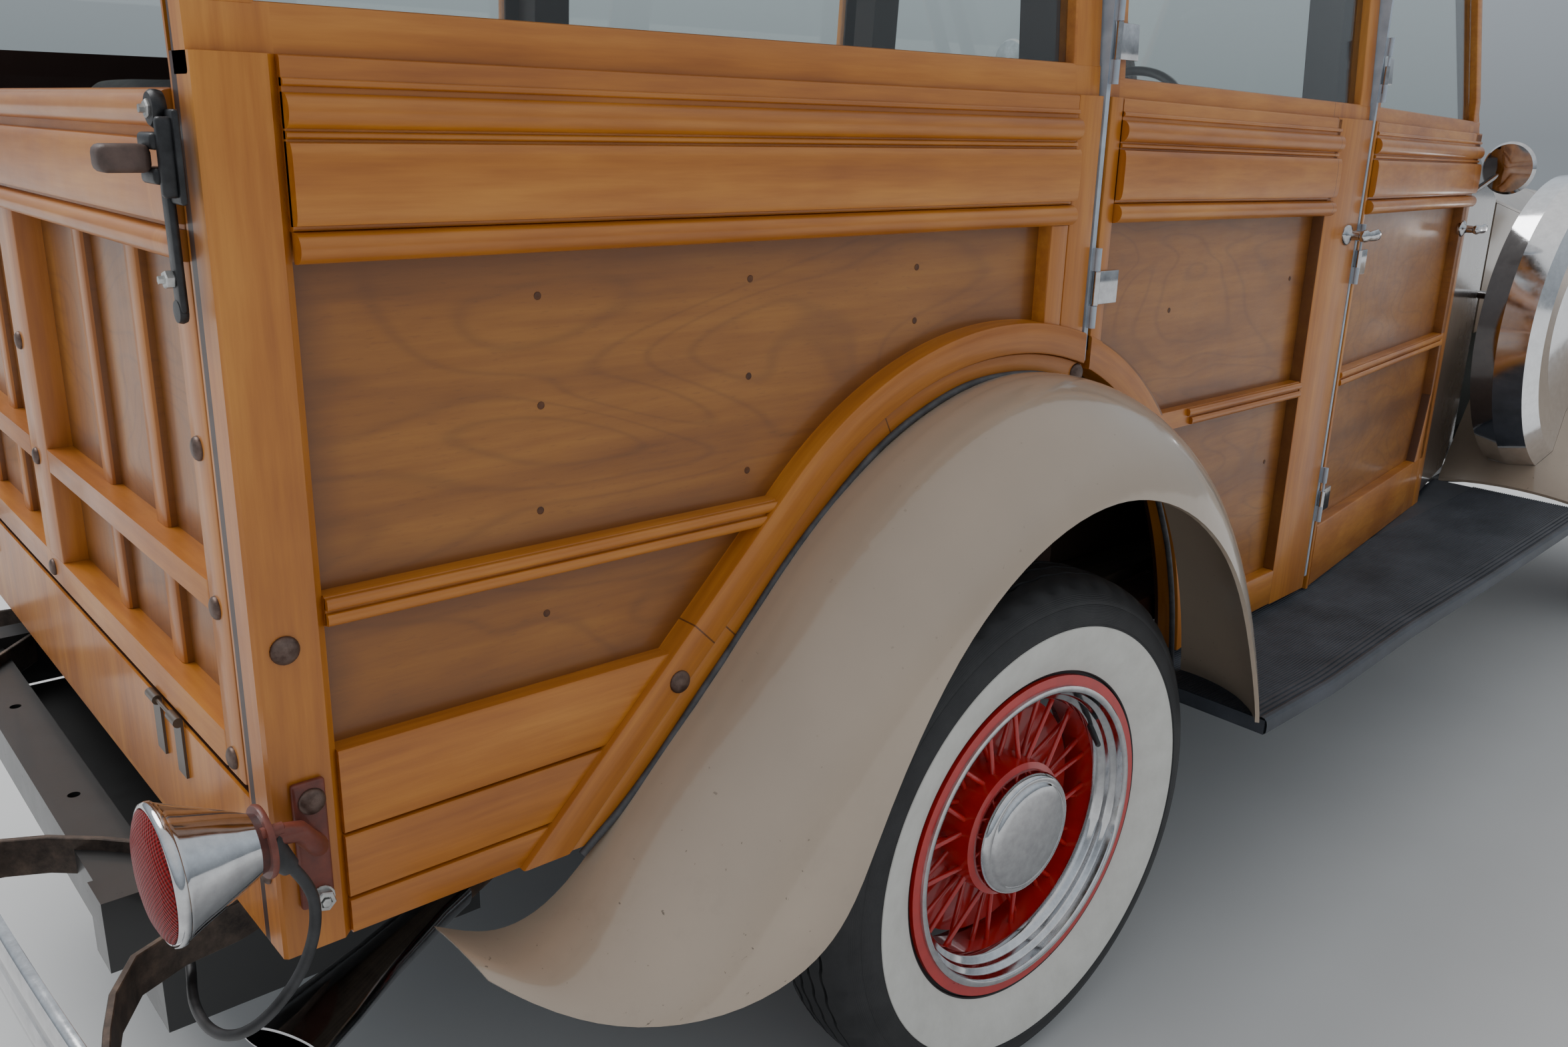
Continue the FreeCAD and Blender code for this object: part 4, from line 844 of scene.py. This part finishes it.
# Tyres: black rubber with a white band let into the outer wall, and a road tread of five ribs
# parted by zigzag grooves, with notches along both shoulders.
def tyre_form(hub, side):
    around, pitch = 192, 4
    wall = [(0.2045, 0.0500), (0.2150, 0.0500), (0.2232, 0.0502), (0.2240, 0.0535), (0.2262, 0.0550),
            (0.2400, 0.0625), (0.2560, 0.0695), (0.2720, 0.0738), (0.2860, 0.0756), (0.2895, 0.0757),
            (0.2905, 0.0744), (0.2925, 0.0745), (0.2935, 0.0757), (0.3040, 0.0740), (0.3160, 0.0703),
            (0.3175, 0.0690), (0.3195, 0.0688), (0.3240, 0.0662), (0.3340, 0.0585)]
    tread = [(0.3382, 0.0545), (0.3418, 0.0500), (0.3450, 0.0430)]
    for centre in (0.0300, 0.0105):
        deep = 0.0070
        crown = 0.3500 - (centre ** 2) * 3.0
        tread += [(crown, centre + 0.0026), (crown - deep, centre + 0.0016), (crown - deep, centre - 0.0016),
                  (crown, centre - 0.0026)]
    half = wall + tread
    profile = half + [(r, -w) for r, w in reversed(half)]
    points, faces = [], []
    count = len(profile)
    for i in range(around):
        angle = 2 * math.pi * i / around
        swing = 0.0016 if i % pitch < pitch / 2 else -0.0016
        for j, (radius, along) in enumerate(profile):
            groove = radius > 0.3415 and abs(along) < 0.034
            notch = 0.0034 if 0.335 < radius < 0.3455 and abs(along) > 0.04 and i % pitch == 0 else 0
            w = along + (swing if groove else 0)
            r = radius - notch
            points.append(hub + Vector((r * math.cos(angle), side * w, r * math.sin(angle))))
        for j in range(count - 1):
            k = (i + 1) % around
            faces.append((i * count + j, i * count + j + 1, k * count + j + 1, k * count + j))
    return points, faces


for hand, side, turn in hands:
    for end, station, y in wheel_places:
        hub = Vector((station - axle_back, side * y, hub_height))
        finish = Finish("whitewall_%s_%s" % (end, hand))
        vector, px, py, pz = finish.place()
        reach = ((px - hub.x) ** 2 + (pz - hub.z) ** 2) ** 0.5
        outer = (py - hub.y) * side > 0.045
        white = reach.within(0.2258, 0.2902) * outer
        scuff = finish.noise(vector, 22, 6, 0.7)
        black = finish.ramp(scuff, (0.3, (0.011, 0.011, 0.012)), (0.75, (0.034, 0.033, 0.034)))
        pale = finish.ramp(scuff, (0.3, (0.60, 0.58, 0.53)), (0.7, (0.70, 0.68, 0.63)))
        lines = (reach * 3400).sine() * (reach > 0.292) * (reach < 0.330)
        rubber = finish.surface(Base_Color=finish.mix(white, black, pale), Roughness=0.5 + scuff * 0.2,
                                Normal=finish.bump(lines + finish.noise(vector, 300, 3) * 0.5, 0.3, 0.0003))
        name = "tyre_%s_%s" % (end, hand)
        body = "wheel_%s_%s" % (end, hand)
        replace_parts(made("road_" + name, tyre_form(hub, side), rubber, body, 28), name)

# Running boards: a steel tread plate under one moulded rubber mat, finely ribbed along its length, with
# three broader ribs and a rolled lip at the outer edge.
board_edge = ((0.420, 0.878), (0.633, 0.872), (0.967, 0.842), (1.350, 0.820), (2.026, 0.772))


def edge_at(x):
    for (x0, y0), (x1, y1) in zip(board_edge, board_edge[1:]):
        if x <= x1:
            return y0 + (y1 - y0) * (x - x0) / (x1 - x0)
    return board_edge[-1][1]


mat_finish = Finish("mat_rubber")
vector = mat_finish.place()[0]
dust = mat_finish.noise(vector, 7, 6, 0.7)
blue_black = mat_finish.ramp(dust, (0.32, (0.026, 0.030, 0.038)), (0.75, (0.085, 0.092, 0.110)))
mat_rubber = mat_finish.surface(Base_Color=blue_black, Roughness=0.42 + dust * 0.25,
                                Normal=mat_finish.bump(mat_finish.noise(vector, 500, 3), 0.2, 0.0003))
dressed(("running_boards",), mat_rubber)
across = [(0.0, 0.3985), (-0.0032, 0.4010), (-0.0040, 0.4060), (-0.0040, 0.4140), (-0.0028, 0.4195),
          (0.0010, 0.4232), (0.0060, 0.4240), (0.0095, 0.4228), (0.0105, 0.4208)]
for k in range(3):
    start = 0.0120 + k * 0.0085
    across += [(start, 0.4208), (start + 0.0008, 0.4232), (start + 0.0052, 0.4232), (start + 0.0060, 0.4208)]
for k in range(47):
    start = 0.0385 + k * 0.0047
    across += [(start, 0.4206), (start + 0.0007, 0.4222), (start + 0.0026, 0.4222), (start + 0.0033, 0.4206)]
for hand, side, turn in hands:
    points, faces = [], []
    rows = [0.4202 + (2.0255 - 0.4202) * i / 40 for i in range(41)]
    for x in rows:
        for inward, z in across:
            points.append((x - axle_back, side * (edge_at(x) - inward), z))
    count = len(across)
    for i in range(len(rows) - 1):
        for j in range(count - 1):
            faces.append((i * count + j, i * count + j + 1, (i + 1) * count + j + 1, (i + 1) * count + j))
    made("board_mat_" + hand, (points, faces), mat_rubber, sharp=25)

# Glass: flat plate, faintly green at its edges, in every window and the windshield.
glass_finish = Finish("window_glass")
vector = glass_finish.place()[0]
smear = glass_finish.noise(vector, 9, 4)
haze = smear.rise(0.4, 0.9) * 0.03 + 0.005
window_glass = glass_finish.surface(Base_Color=(0.93, 0.97, 0.95), Roughness=haze, Transmission_Weight=1.0,
                                    IOR=1.45, Alpha=1.0)
dressed(("fixed_glass", "glass_front_left", "glass_front_right", "glass_rear_left", "glass_rear_right"),
        window_glass)

# Hinge strips: soft grey rubber seals in the gaps at the hinge posts, and their fixed knuckles in one grey.
strip_finish = Finish("grey_strip")
vector = strip_finish.place()[0]
film = strip_finish.noise(vector, 40, 5)
grey = strip_finish.ramp(film, (0.3, (0.33, 0.38, 0.45)), (0.7, (0.47, 0.53, 0.60)))
dressed(("hinge_strips",), strip_finish.surface(Base_Color=grey, Roughness=0.45 + film * 0.2,
                                                Normal=strip_finish.bump(film, 0.1, 0.0004)))

# Roof: long-grained black cloth stretched over slats, which show through as shallow waves.
roof_finish = Finish("roof_cloth")
vector, x, y, z = roof_finish.place()
weave = (x * 2600).sine() * (y * 2600).sine()
slats = ((y * 78).sine() * 0.5 + 0.5) ** 3
sag = roof_finish.noise(vector, 4, 3)
soot = roof_finish.ramp(roof_finish.noise(vector, 14, 6, 0.7), (0.3, (0.022, 0.020, 0.018)),
                        (0.75, (0.060, 0.055, 0.050)))
cloth_grain = roof_finish.bump(weave + roof_finish.noise(vector, 700, 3), 0.3, 0.0004)
roof_relief = roof_finish.bump(slats * 0.6 + sag, 0.15, 0.004, cloth_grain)
dressed(("roof",), roof_finish.surface(Base_Color=soot, Roughness=0.62 + sag * 0.15, Normal=roof_relief))

# Bright and dark metal: plated bumpers, lamps, mirrors and grille; rusty spring-steel bumper irons;
# the exhaust's bright flared tip on a rusty pipe; polished covers over the spare wheels.
dressed(("grille", "headlamps", "front_bumper", "mirror_left", "mirror_right"), chrome)
iron_finish = Finish("bumper_iron")
vector = iron_finish.place()[0]
rust = iron_finish.noise(vector, 34, 7, 0.7)
iron_dark = iron_finish.ramp(rust, (0.30, (0.030, 0.024, 0.021)), (0.52, (0.095, 0.070, 0.056)),
                             (0.74, (0.19, 0.135, 0.10)))
bumper_iron = iron_finish.surface(Base_Color=iron_dark, Metallic=0.55, Roughness=0.42 + rust * 0.25,
                                  Normal=iron_finish.bump(iron_finish.noise(vector, 260, 4), 0.25, 0.0006))
bar_half, bar_rear, bar_bow, bar_steps = 0.840, -2.321, 0.040, 48
bar_section = ((0.395, 0.012), (0.395, 0.004), (0.399, 0.0005), (0.412, -0.0005), (0.426, 0.0),
               (0.4305, 0.003), (0.4345, 0.0), (0.4385, 0.003), (0.443, 0.0), (0.461, -0.0005),
               (0.474, 0.0005), (0.478, 0.004), (0.478, 0.012))
rings = []
for i in range(bar_steps + 1):
    y = -bar_half + 2 * bar_half * i / bar_steps
    rings.append([(bar_rear + bar_bow * (y / bar_half) ** 2 + depth, y, z) for z, depth in bar_section])
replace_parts(made("bumper_bar", loft(rings), chrome, sharp=50), "rear_bumper")
inner_iron = ((-0.891, 0.3775), (-0.924, 0.341), (-0.966, 0.295), (-1.010, 0.256), (-1.050, 0.235),
              (-1.087, 0.225))
outer_iron = ((-0.799, 0.4325), (-0.842, 0.484), (-0.896, 0.504), (-0.950, 0.512), (-0.998, 0.534),
              (-1.028, 0.580), (-1.045, 0.628), (-1.066, 0.700))
iron_section = ((0.430, -0.0025), (0.431, -0.0035), (0.473, -0.0035), (0.474, -0.0025),
                (0.474, 0.0025), (0.473, 0.0035), (0.431, 0.0035), (0.430, 0.0025))
irons = []
for line in (inner_iron, outer_iron):
    rings = []
    for before, (x, y), after in zip(line[:1] + line[:-1], line, line[1:] + line[-1:]):
        along = Vector((after[0] - before[0], after[1] - before[1])).normalized()
        rings.append([(x - axle_back - along.y * share, y + along.x * share, z)
                      for z, share in iron_section])
    irons.append(loft(rings))
for hand, side, turn in hands:
    made("bumper_irons_" + hand, turn(together(irons)), bumper_iron)
rusty_pipe = aged("rusty_pipe", (0.035, 0.024, 0.018), (0.13, 0.075, 0.045), 0.4, 0.55, 0.75, 0.4)
pipe_end, pipe_way = Vector((-1.881, -0.458, 0.347)), Vector((-0.876, -0.482, 0)).normalized()
pipe = turned(((0.0001, -0.36), (0.0200, -0.36), (0.0200, 0.0)), pipe_end, pipe_way, 32)
made("exhaust_pipe", pipe, rusty_pipe)
tip_sections = ((-0.030, 0.024, 0.024), (0.020, 0.024, 0.024), (0.120, 0.032, 0.022), (0.200, 0.044, 0.019),
                (0.262, 0.050, 0.017), (0.2625, 0.0475, 0.0145), (0.230, 0.043, 0.0145),
                (0.140, 0.030, 0.018), (0.060, 0.020, 0.020))
tip_side, tip_lift = Vector((-pipe_way.y, pipe_way.x, 0)), Vector((0, 0, 0.002))
rings, angles = [], [math.pi * i / 20 for i in range(40)]
for reach, wide, high in tip_sections:
    middle = pipe_end + pipe_way * reach + tip_lift
    rings.append([middle + tip_side * (wide * math.cos(angle)) + Vector((0, 0, high * math.sin(angle)))
                  for angle in angles])
made("exhaust_tip", loft(rings), chrome, sharp=50)
spare_cover = aged("spare_cover", (0.76, 0.76, 0.77), (0.86, 0.86, 0.87), 1.0, 0.06, 0.14, 0.02)
dressed(("spare_wheels",), spare_cover)
engine_paint = aged("engine_paint", (0.035, 0.045, 0.035), (0.075, 0.09, 0.07), 0.2, 0.5, 0.7, 0.3)
dressed(("engine_block",), engine_paint)

# Tail lamps: a plated bell with a ribbed red glass, on a curved arm and foot plate in red oxide paint.
def slab(middle, size, bevel, turn=None):
    """Plate or block with rounded edges."""
    work = bmesh.new()
    bmesh.ops.create_cube(work, size=1)
    bmesh.ops.scale(work, vec=size, verts=work.verts)
    bmesh.ops.bevel(work, geom=work.edges[:] + work.verts[:], offset=bevel, segments=3, profile=0.5,
                    affect="EDGES")
    place = Matrix.Translation(middle) @ (turn or Matrix.Identity(4))
    points = [place @ v.co for v in work.verts]
    work.verts.index_update()
    faces = [tuple(v.index for v in face.verts) for face in work.faces]
    work.free()
    return points, faces


lamp_finish = Finish("lamp_metal")
vector = lamp_finish.place()[0]
grit = lamp_finish.noise(vector, 45, 6, 0.7)
oxide_red = lamp_finish.ramp(grit, (0.32, (0.095, 0.017, 0.009)), (0.70, (0.200, 0.040, 0.020)))
oxide = lamp_finish.surface(Base_Color=oxide_red, Roughness=0.42 + grit * 0.2, Coat_Weight=0.25,
                            Normal=lamp_finish.bump(lamp_finish.noise(vector, 300, 3), 0.2, 0.0004))
red_finish = Finish("red_glass")
vector, x, y, z = red_finish.place()
facets = (y * 1500).sine() * (z * 1500).sine()
deep_red = red_finish.ramp(facets * 0.5 + 0.5, (0.0, (0.055, 0.0005, 0.001)), (1.0, (0.33, 0.004, 0.005)))
red_glass = red_finish.surface(Base_Color=deep_red, Roughness=0.30, Specular_IOR_Level=0.12,
                               Normal=red_finish.bump(facets, 0.6, 0.0012))
zinc = aged("zinc", (0.35, 0.35, 0.34), (0.60, 0.60, 0.58), 0.9, 0.3, 0.5)
backward = (-1, 0, 0)
bell_form = ((0, 0), (0.024, 0), (0.026, 0.006), (0.034, 0.022), (0.043, 0.042), (0.050, 0.058),
             (0.054, 0.066), (0.0558, 0.070), (0.0558, 0.075), (0.052, 0.0765), (0, 0.0765))
flange_form = ((0, 0), (0.030, 0), (0.031, -0.002), (0.030, -0.005), (0, -0.005))
stud_form = ((0, 0.003), (0.005, 0.003), (0.005, -0.014), (0, -0.016))
boot_form = ((0, 0), (0.0150, 0), (0.0155, 0.003), (0.0130, 0.010), (0.0105, 0.022), (0.0085, 0.034),
             (0.0060, 0.0345), (0, 0.0345))
glass_form = ((0.0520, 0.0745), (0.0528, 0.0770), (0.0525, 0.0790), (0.0480, 0.0815), (0.0400, 0.0845),
              (0.0280, 0.0868), (0.0140, 0.0880), (0, 0.0884))
rim_form = ((0.0555, 0.0690), (0.0572, 0.0705), (0.0576, 0.0740), (0.0566, 0.0772), (0.0540, 0.0785),
            (0.0522, 0.0772), (0.0520, 0.0750))
washer_form = ((0.0068, 0.0), (0.0112, 0.0), (0.0116, 0.0010), (0.0112, 0.0018), (0.0068, 0.0020))
nut_form = ((0.0070, 0.0018), (0.0095, 0.0020), (0.0098, 0.0030), (0.0098, 0.0085), (0.0088, 0.0098),
            (0.0056, 0.0100), (0.0054, 0.0080), (0.0044, 0.0080), (0.0042, 0.0115), (0, 0.0118))
arm = [Vector(at) for at in ((-2.105, 0.704, 0.634), (-2.105, 0.716, 0.635), (-2.108, 0.726, 0.639),
                             (-2.117, 0.734, 0.652), (-2.127, 0.739, 0.666), (-2.140, 0.740, 0.669),
                             (-2.158, 0.740, 0.668))]
rings, arm_radius, angles = [], 0.009, [math.pi * i / 8 for i in range(16)]
for before, at, after in zip(arm[:1] + arm[:-1], arm, arm[1:] + arm[-1:]):
    way = (after - before).normalized()
    first = way.cross(Vector((0.3, 0, 1))).normalized()
    second = way.cross(first)
    rings.append([at + (first * math.cos(angle) + second * math.sin(angle)) * arm_radius
                  for angle in angles])
arm_form = loft(rings)
for hand, side, turn in hands:
    middle = Vector((-2.159, side * 0.740, 0.668))
    bell = turned(bell_form, middle, backward, 64)
    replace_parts(made("lamp_bell_" + hand, bell, chrome, sharp=50), "tail_lamps")
    metal = [slab((-2.1045, side * 0.7035, 0.629), (0.029, 0.007, 0.120), 0.003),
             turned(flange_form, middle, backward, 48), turn(arm_form)]
    metal += [turned(stud_form, middle + Vector((0, offset, -offset)), backward, 16)
              for offset in (-0.016, 0.016)]
    made("lamp_arm_" + hand, together(metal), oxide, sharp=45)
    boot = turned(boot_form, middle + Vector((0.003, 0, -0.002)), (0.019, 0, -0.029), 24)
    made("lamp_boot_" + hand, boot, black_rubber)
    made("lamp_glass_" + hand, turned(glass_form, middle, backward, 64), red_glass)
    made("lamp_rim_" + hand, turned(rim_form, middle, backward, 64), chrome, sharp=60)
    bolt = domed((-2.103, side * 0.7068, 0.671), (0, side, 0), 0.0120, 0.0065)
    made("lamp_bolt_" + hand, bolt, brown_bolt)
    at = Vector((-2.102, side * 0.7068, 0.577))
    nut = together((turned(washer_form, at, (0, side, 0), 14), turned(nut_form, at, (0, side, 0), 6)))
    made("lamp_nut_" + hand, nut, zinc, sharp=25)

# Tailgate latch on each corner post: a black cast body and strap, a brown rubber stop and plain hex nuts.
cast_black = aged("cast_black", (0.012, 0.012, 0.013), (0.035, 0.035, 0.037), 0.3, 0.32, 0.5, 0.3)
brown_stop = rubbered("brown_stop", (0.045, 0.026, 0.020), 0.5)
pivot_form = ((0.0001, -0.004), (0.0125, -0.004), (0.0135, -0.001), (0.0135, 0.003), (0.0115, 0.0055),
              (0, 0.0060))
boss_form = ((0.0001, -0.003), (0.0085, -0.003), (0.0095, 0), (0.0085, 0.0035), (0, 0.0040))
hex_form = ((0.0064, 0.0), (0.0070, 0.001), (0.0070, 0.006), (0.0060, 0.0072), (0.0034, 0.0072),
            (0.0032, 0.011), (0, 0.0112))
for hand, side, turn in hands:
    tilt = Matrix.Rotation(math.radians(2 * side), 4, "X")
    parts = [slab((-2.1485, side * 0.6770, 1.1930), (0.005, 0.040, 0.066), 0.0022),
             slab((-2.1550, side * 0.6880, 1.1930), (0.012, 0.010, 0.056), 0.0030),
             slab((-2.1565, side * 0.6690, 1.1800), (0.016, 0.034, 0.012), 0.0035),
             slab((-2.1565, side * 0.6690, 1.2040), (0.016, 0.034, 0.012), 0.0035),
             slab((-2.1500, side * 0.6650, 1.1280), (0.006, 0.017, 0.096), 0.0025, tilt),
             turned(pivot_form, (-2.1520, side * 0.6650, 1.2260), backward, 24),
             turned(boss_form, (-2.1500, side * 0.6640, 1.0810), backward, 20)]
    made("latch_body_" + hand, together(parts), cast_black, sharp=40)
    stop = slab((-2.1800, side * 0.6680, 1.1920), (0.036, 0.026, 0.020), 0.0060)
    made("latch_stop_" + hand, stop, brown_stop)
    nuts = [turned(hex_form, (-2.1530, side * y, z), backward, 6)
            for y, z in ((0.6650, 1.2260), (0.6640, 1.1050))]
    made("latch_nuts_" + hand, together(nuts), zinc, sharp=25)

# Interior: dark brown floor boards and the dark composition rim of the steering wheel.
floor_finish = Finish("floor_board")
vector, x, y, z = floor_finish.place()
streak = floor_finish.noise(floor_finish.join(x * 2, y * 30, z * 30), 3, 5)
floor_brown = floor_finish.ramp(streak, (0.3, (0.030, 0.022, 0.016)), (0.7, (0.085, 0.060, 0.040)))
dressed(("body_floor",), floor_finish.surface(Base_Color=floor_brown, Roughness=0.6 + streak * 0.15,
                                              Normal=floor_finish.bump(streak, 0.2, 0.001)))
rim_finish = Finish("wheel_rim_brown")
vector = rim_finish.place()[0]
mottle = rim_finish.noise(vector, 50, 5)
dark_rim = rim_finish.ramp(mottle, (0.3, (0.040, 0.022, 0.015)), (0.7, (0.085, 0.048, 0.033)))
rim_grain = rim_finish.bump(mottle, 0.05, 0.0006)
dressed(("steering_wheel",), rim_finish.surface(Base_Color=dark_rim, Roughness=0.25 + mottle * 0.2,
                                                Coat_Weight=0.4, Normal=rim_grain))

# Seats: three benches, each with a stuffed cushion and back in dark brown leather, pleated from front
# to back, on a painted wooden box. The rear back carries a black cloth cover.
leather_finish = Finish("brown_leather")
vector = leather_finish.place()[0]
creases = leather_finish.noise(vector, 22, 6, 0.65)
pebble = leather_finish.add("ShaderNodeTexVoronoi", inputs={"Vector": vector, "Scale": 520.0})
brown_leather = leather_finish.surface(
    Base_Color=leather_finish.ramp(creases, (0.3, (0.030, 0.016, 0.010)), (0.7, (0.075, 0.041, 0.026))),
    Roughness=0.38 + creases * 0.2,
    Normal=leather_finish.bump(pebble, 0.25, 0.0005, leather_finish.bump(creases, 0.25, 0.002)))
cover_finish = Finish("black_cover")
vector, x, y, z = cover_finish.place()
threads = (y * 3000).sine() * (z * 3000).sine()
cover_black = cover_finish.ramp(cover_finish.noise(vector, 30, 5), (0.3, (0.010, 0.010, 0.011)),
                                (0.7, (0.026, 0.026, 0.028)))
cover_relief = cover_finish.bump(threads + cover_finish.noise(vector, 12, 3) * 3, 0.2, 0.0008)
black_cover = cover_finish.surface(Base_Color=cover_black, Roughness=0.7, Normal=cover_relief)


def stuffed(name, corners, half, pleats, material, cap):
    """Cushion of an outline seen from the side, pulled along y, swollen by its stuffing, then pleated."""
    work = bmesh.new()
    ends = [[work.verts.new((x - axle_back, y, z)) for x, z in corners] for y in (-half, half)]
    work.faces.new(ends[0])
    work.faces.new(ends[1][::-1])
    for i in range(len(corners)):
        j = (i + 1) % len(corners)
        work.faces.new((ends[0][i], ends[0][j], ends[1][j], ends[1][i]))
    bmesh.ops.recalc_face_normals(work, faces=work.faces)
    bmesh.ops.bevel(work, geom=work.edges[:], offset=0.030, segments=4, profile=0.5, affect="EDGES")
    mesh = bpy.data.meshes.new(name)
    work.to_mesh(mesh)
    work.free()
    pad = bpy.data.objects.new(name, mesh)
    bpy.context.scene.collection.objects.link(pad)
    bpy.context.view_layer.objects.active = pad
    size = pad.modifiers.new("size", "REMESH")
    size.mode, size.voxel_size = "VOXEL", 0.018
    bpy.ops.object.modifier_apply(modifier="size")
    rest = [v.co.copy() for v in pad.data.vertices]
    cloth = pad.modifiers.new("cloth", "CLOTH")
    cloth.settings.use_pressure, cloth.settings.uniform_pressure_force = True, 4.0
    cloth.settings.effector_weights.gravity = 0
    for frame_number in range(1, 21):
        bpy.context.scene.frame_set(frame_number)
    swollen = pad.evaluated_get(bpy.context.evaluated_depsgraph_get()).data
    moved = [v.co.copy() for v in swollen.vertices]
    pad.modifiers.clear()
    bpy.context.scene.frame_set(1)
    for vertex, before, after in zip(pad.data.vertices, rest, moved):
        step = after - before
        vertex.co = before + step * min(1.0, cap / max(step.length, 1e-6))
    finer = pad.modifiers.new("finer", "SUBSURF")
    finer.levels = finer.render_levels = 1
    bpy.ops.object.modifier_apply(modifier="finer")
    pad.data.update()
    normals = [v.normal.copy() for v in pad.data.vertices]
    for vertex, normal in zip(pad.data.vertices, normals):
        share = (vertex.co.y + half) / (2 * half) * pleats
        seam = min(abs(share - round(share)), 0.5)
        if 0.4 < share < pleats - 0.4:
            vertex.co -= normal * 0.008 * max(0.0, 1 - seam / 0.13) ** 0.7 * abs(normal.y < 0.7)
    pad.data.shade_smooth()
    pad.data.materials.append(material)
    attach(pad, "root")


swell = 0.024
for row, x, half, pleats in (("front", 1.120, 0.425, 10), ("middle", 0.300, 0.485, 11),
                             ("rear", -0.520, 0.485, 11)):
    cushion = ((x + 0.015, 0.690), (x + 0.425, 0.690), (x + 0.425, 0.775), (x + 0.015, 0.770))
    back = ((x - 0.135, 1.215), (x - 0.070, 1.215), (x + 0.085, 0.795), (x + 0.020, 0.795))
    for part, corners in (("_cushion", cushion), ("_back", back)):
        stuffed(row + part, corners, half, pleats, brown_leather, swell)
    box = slab((x - axle_back + 0.220, 0, 0.612), (0.400, 2 * half - 0.02, 0.144), 0.008)
    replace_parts(made(row + "_seat_box", box, brown_paint), "seats")
cover_corners = ((-0.700, 1.100), (-0.560, 1.100), (-0.590, 1.262), (-0.690, 1.262))
stuffed("seat_cover", cover_corners, 0.560, 1, black_cover, 0.022)
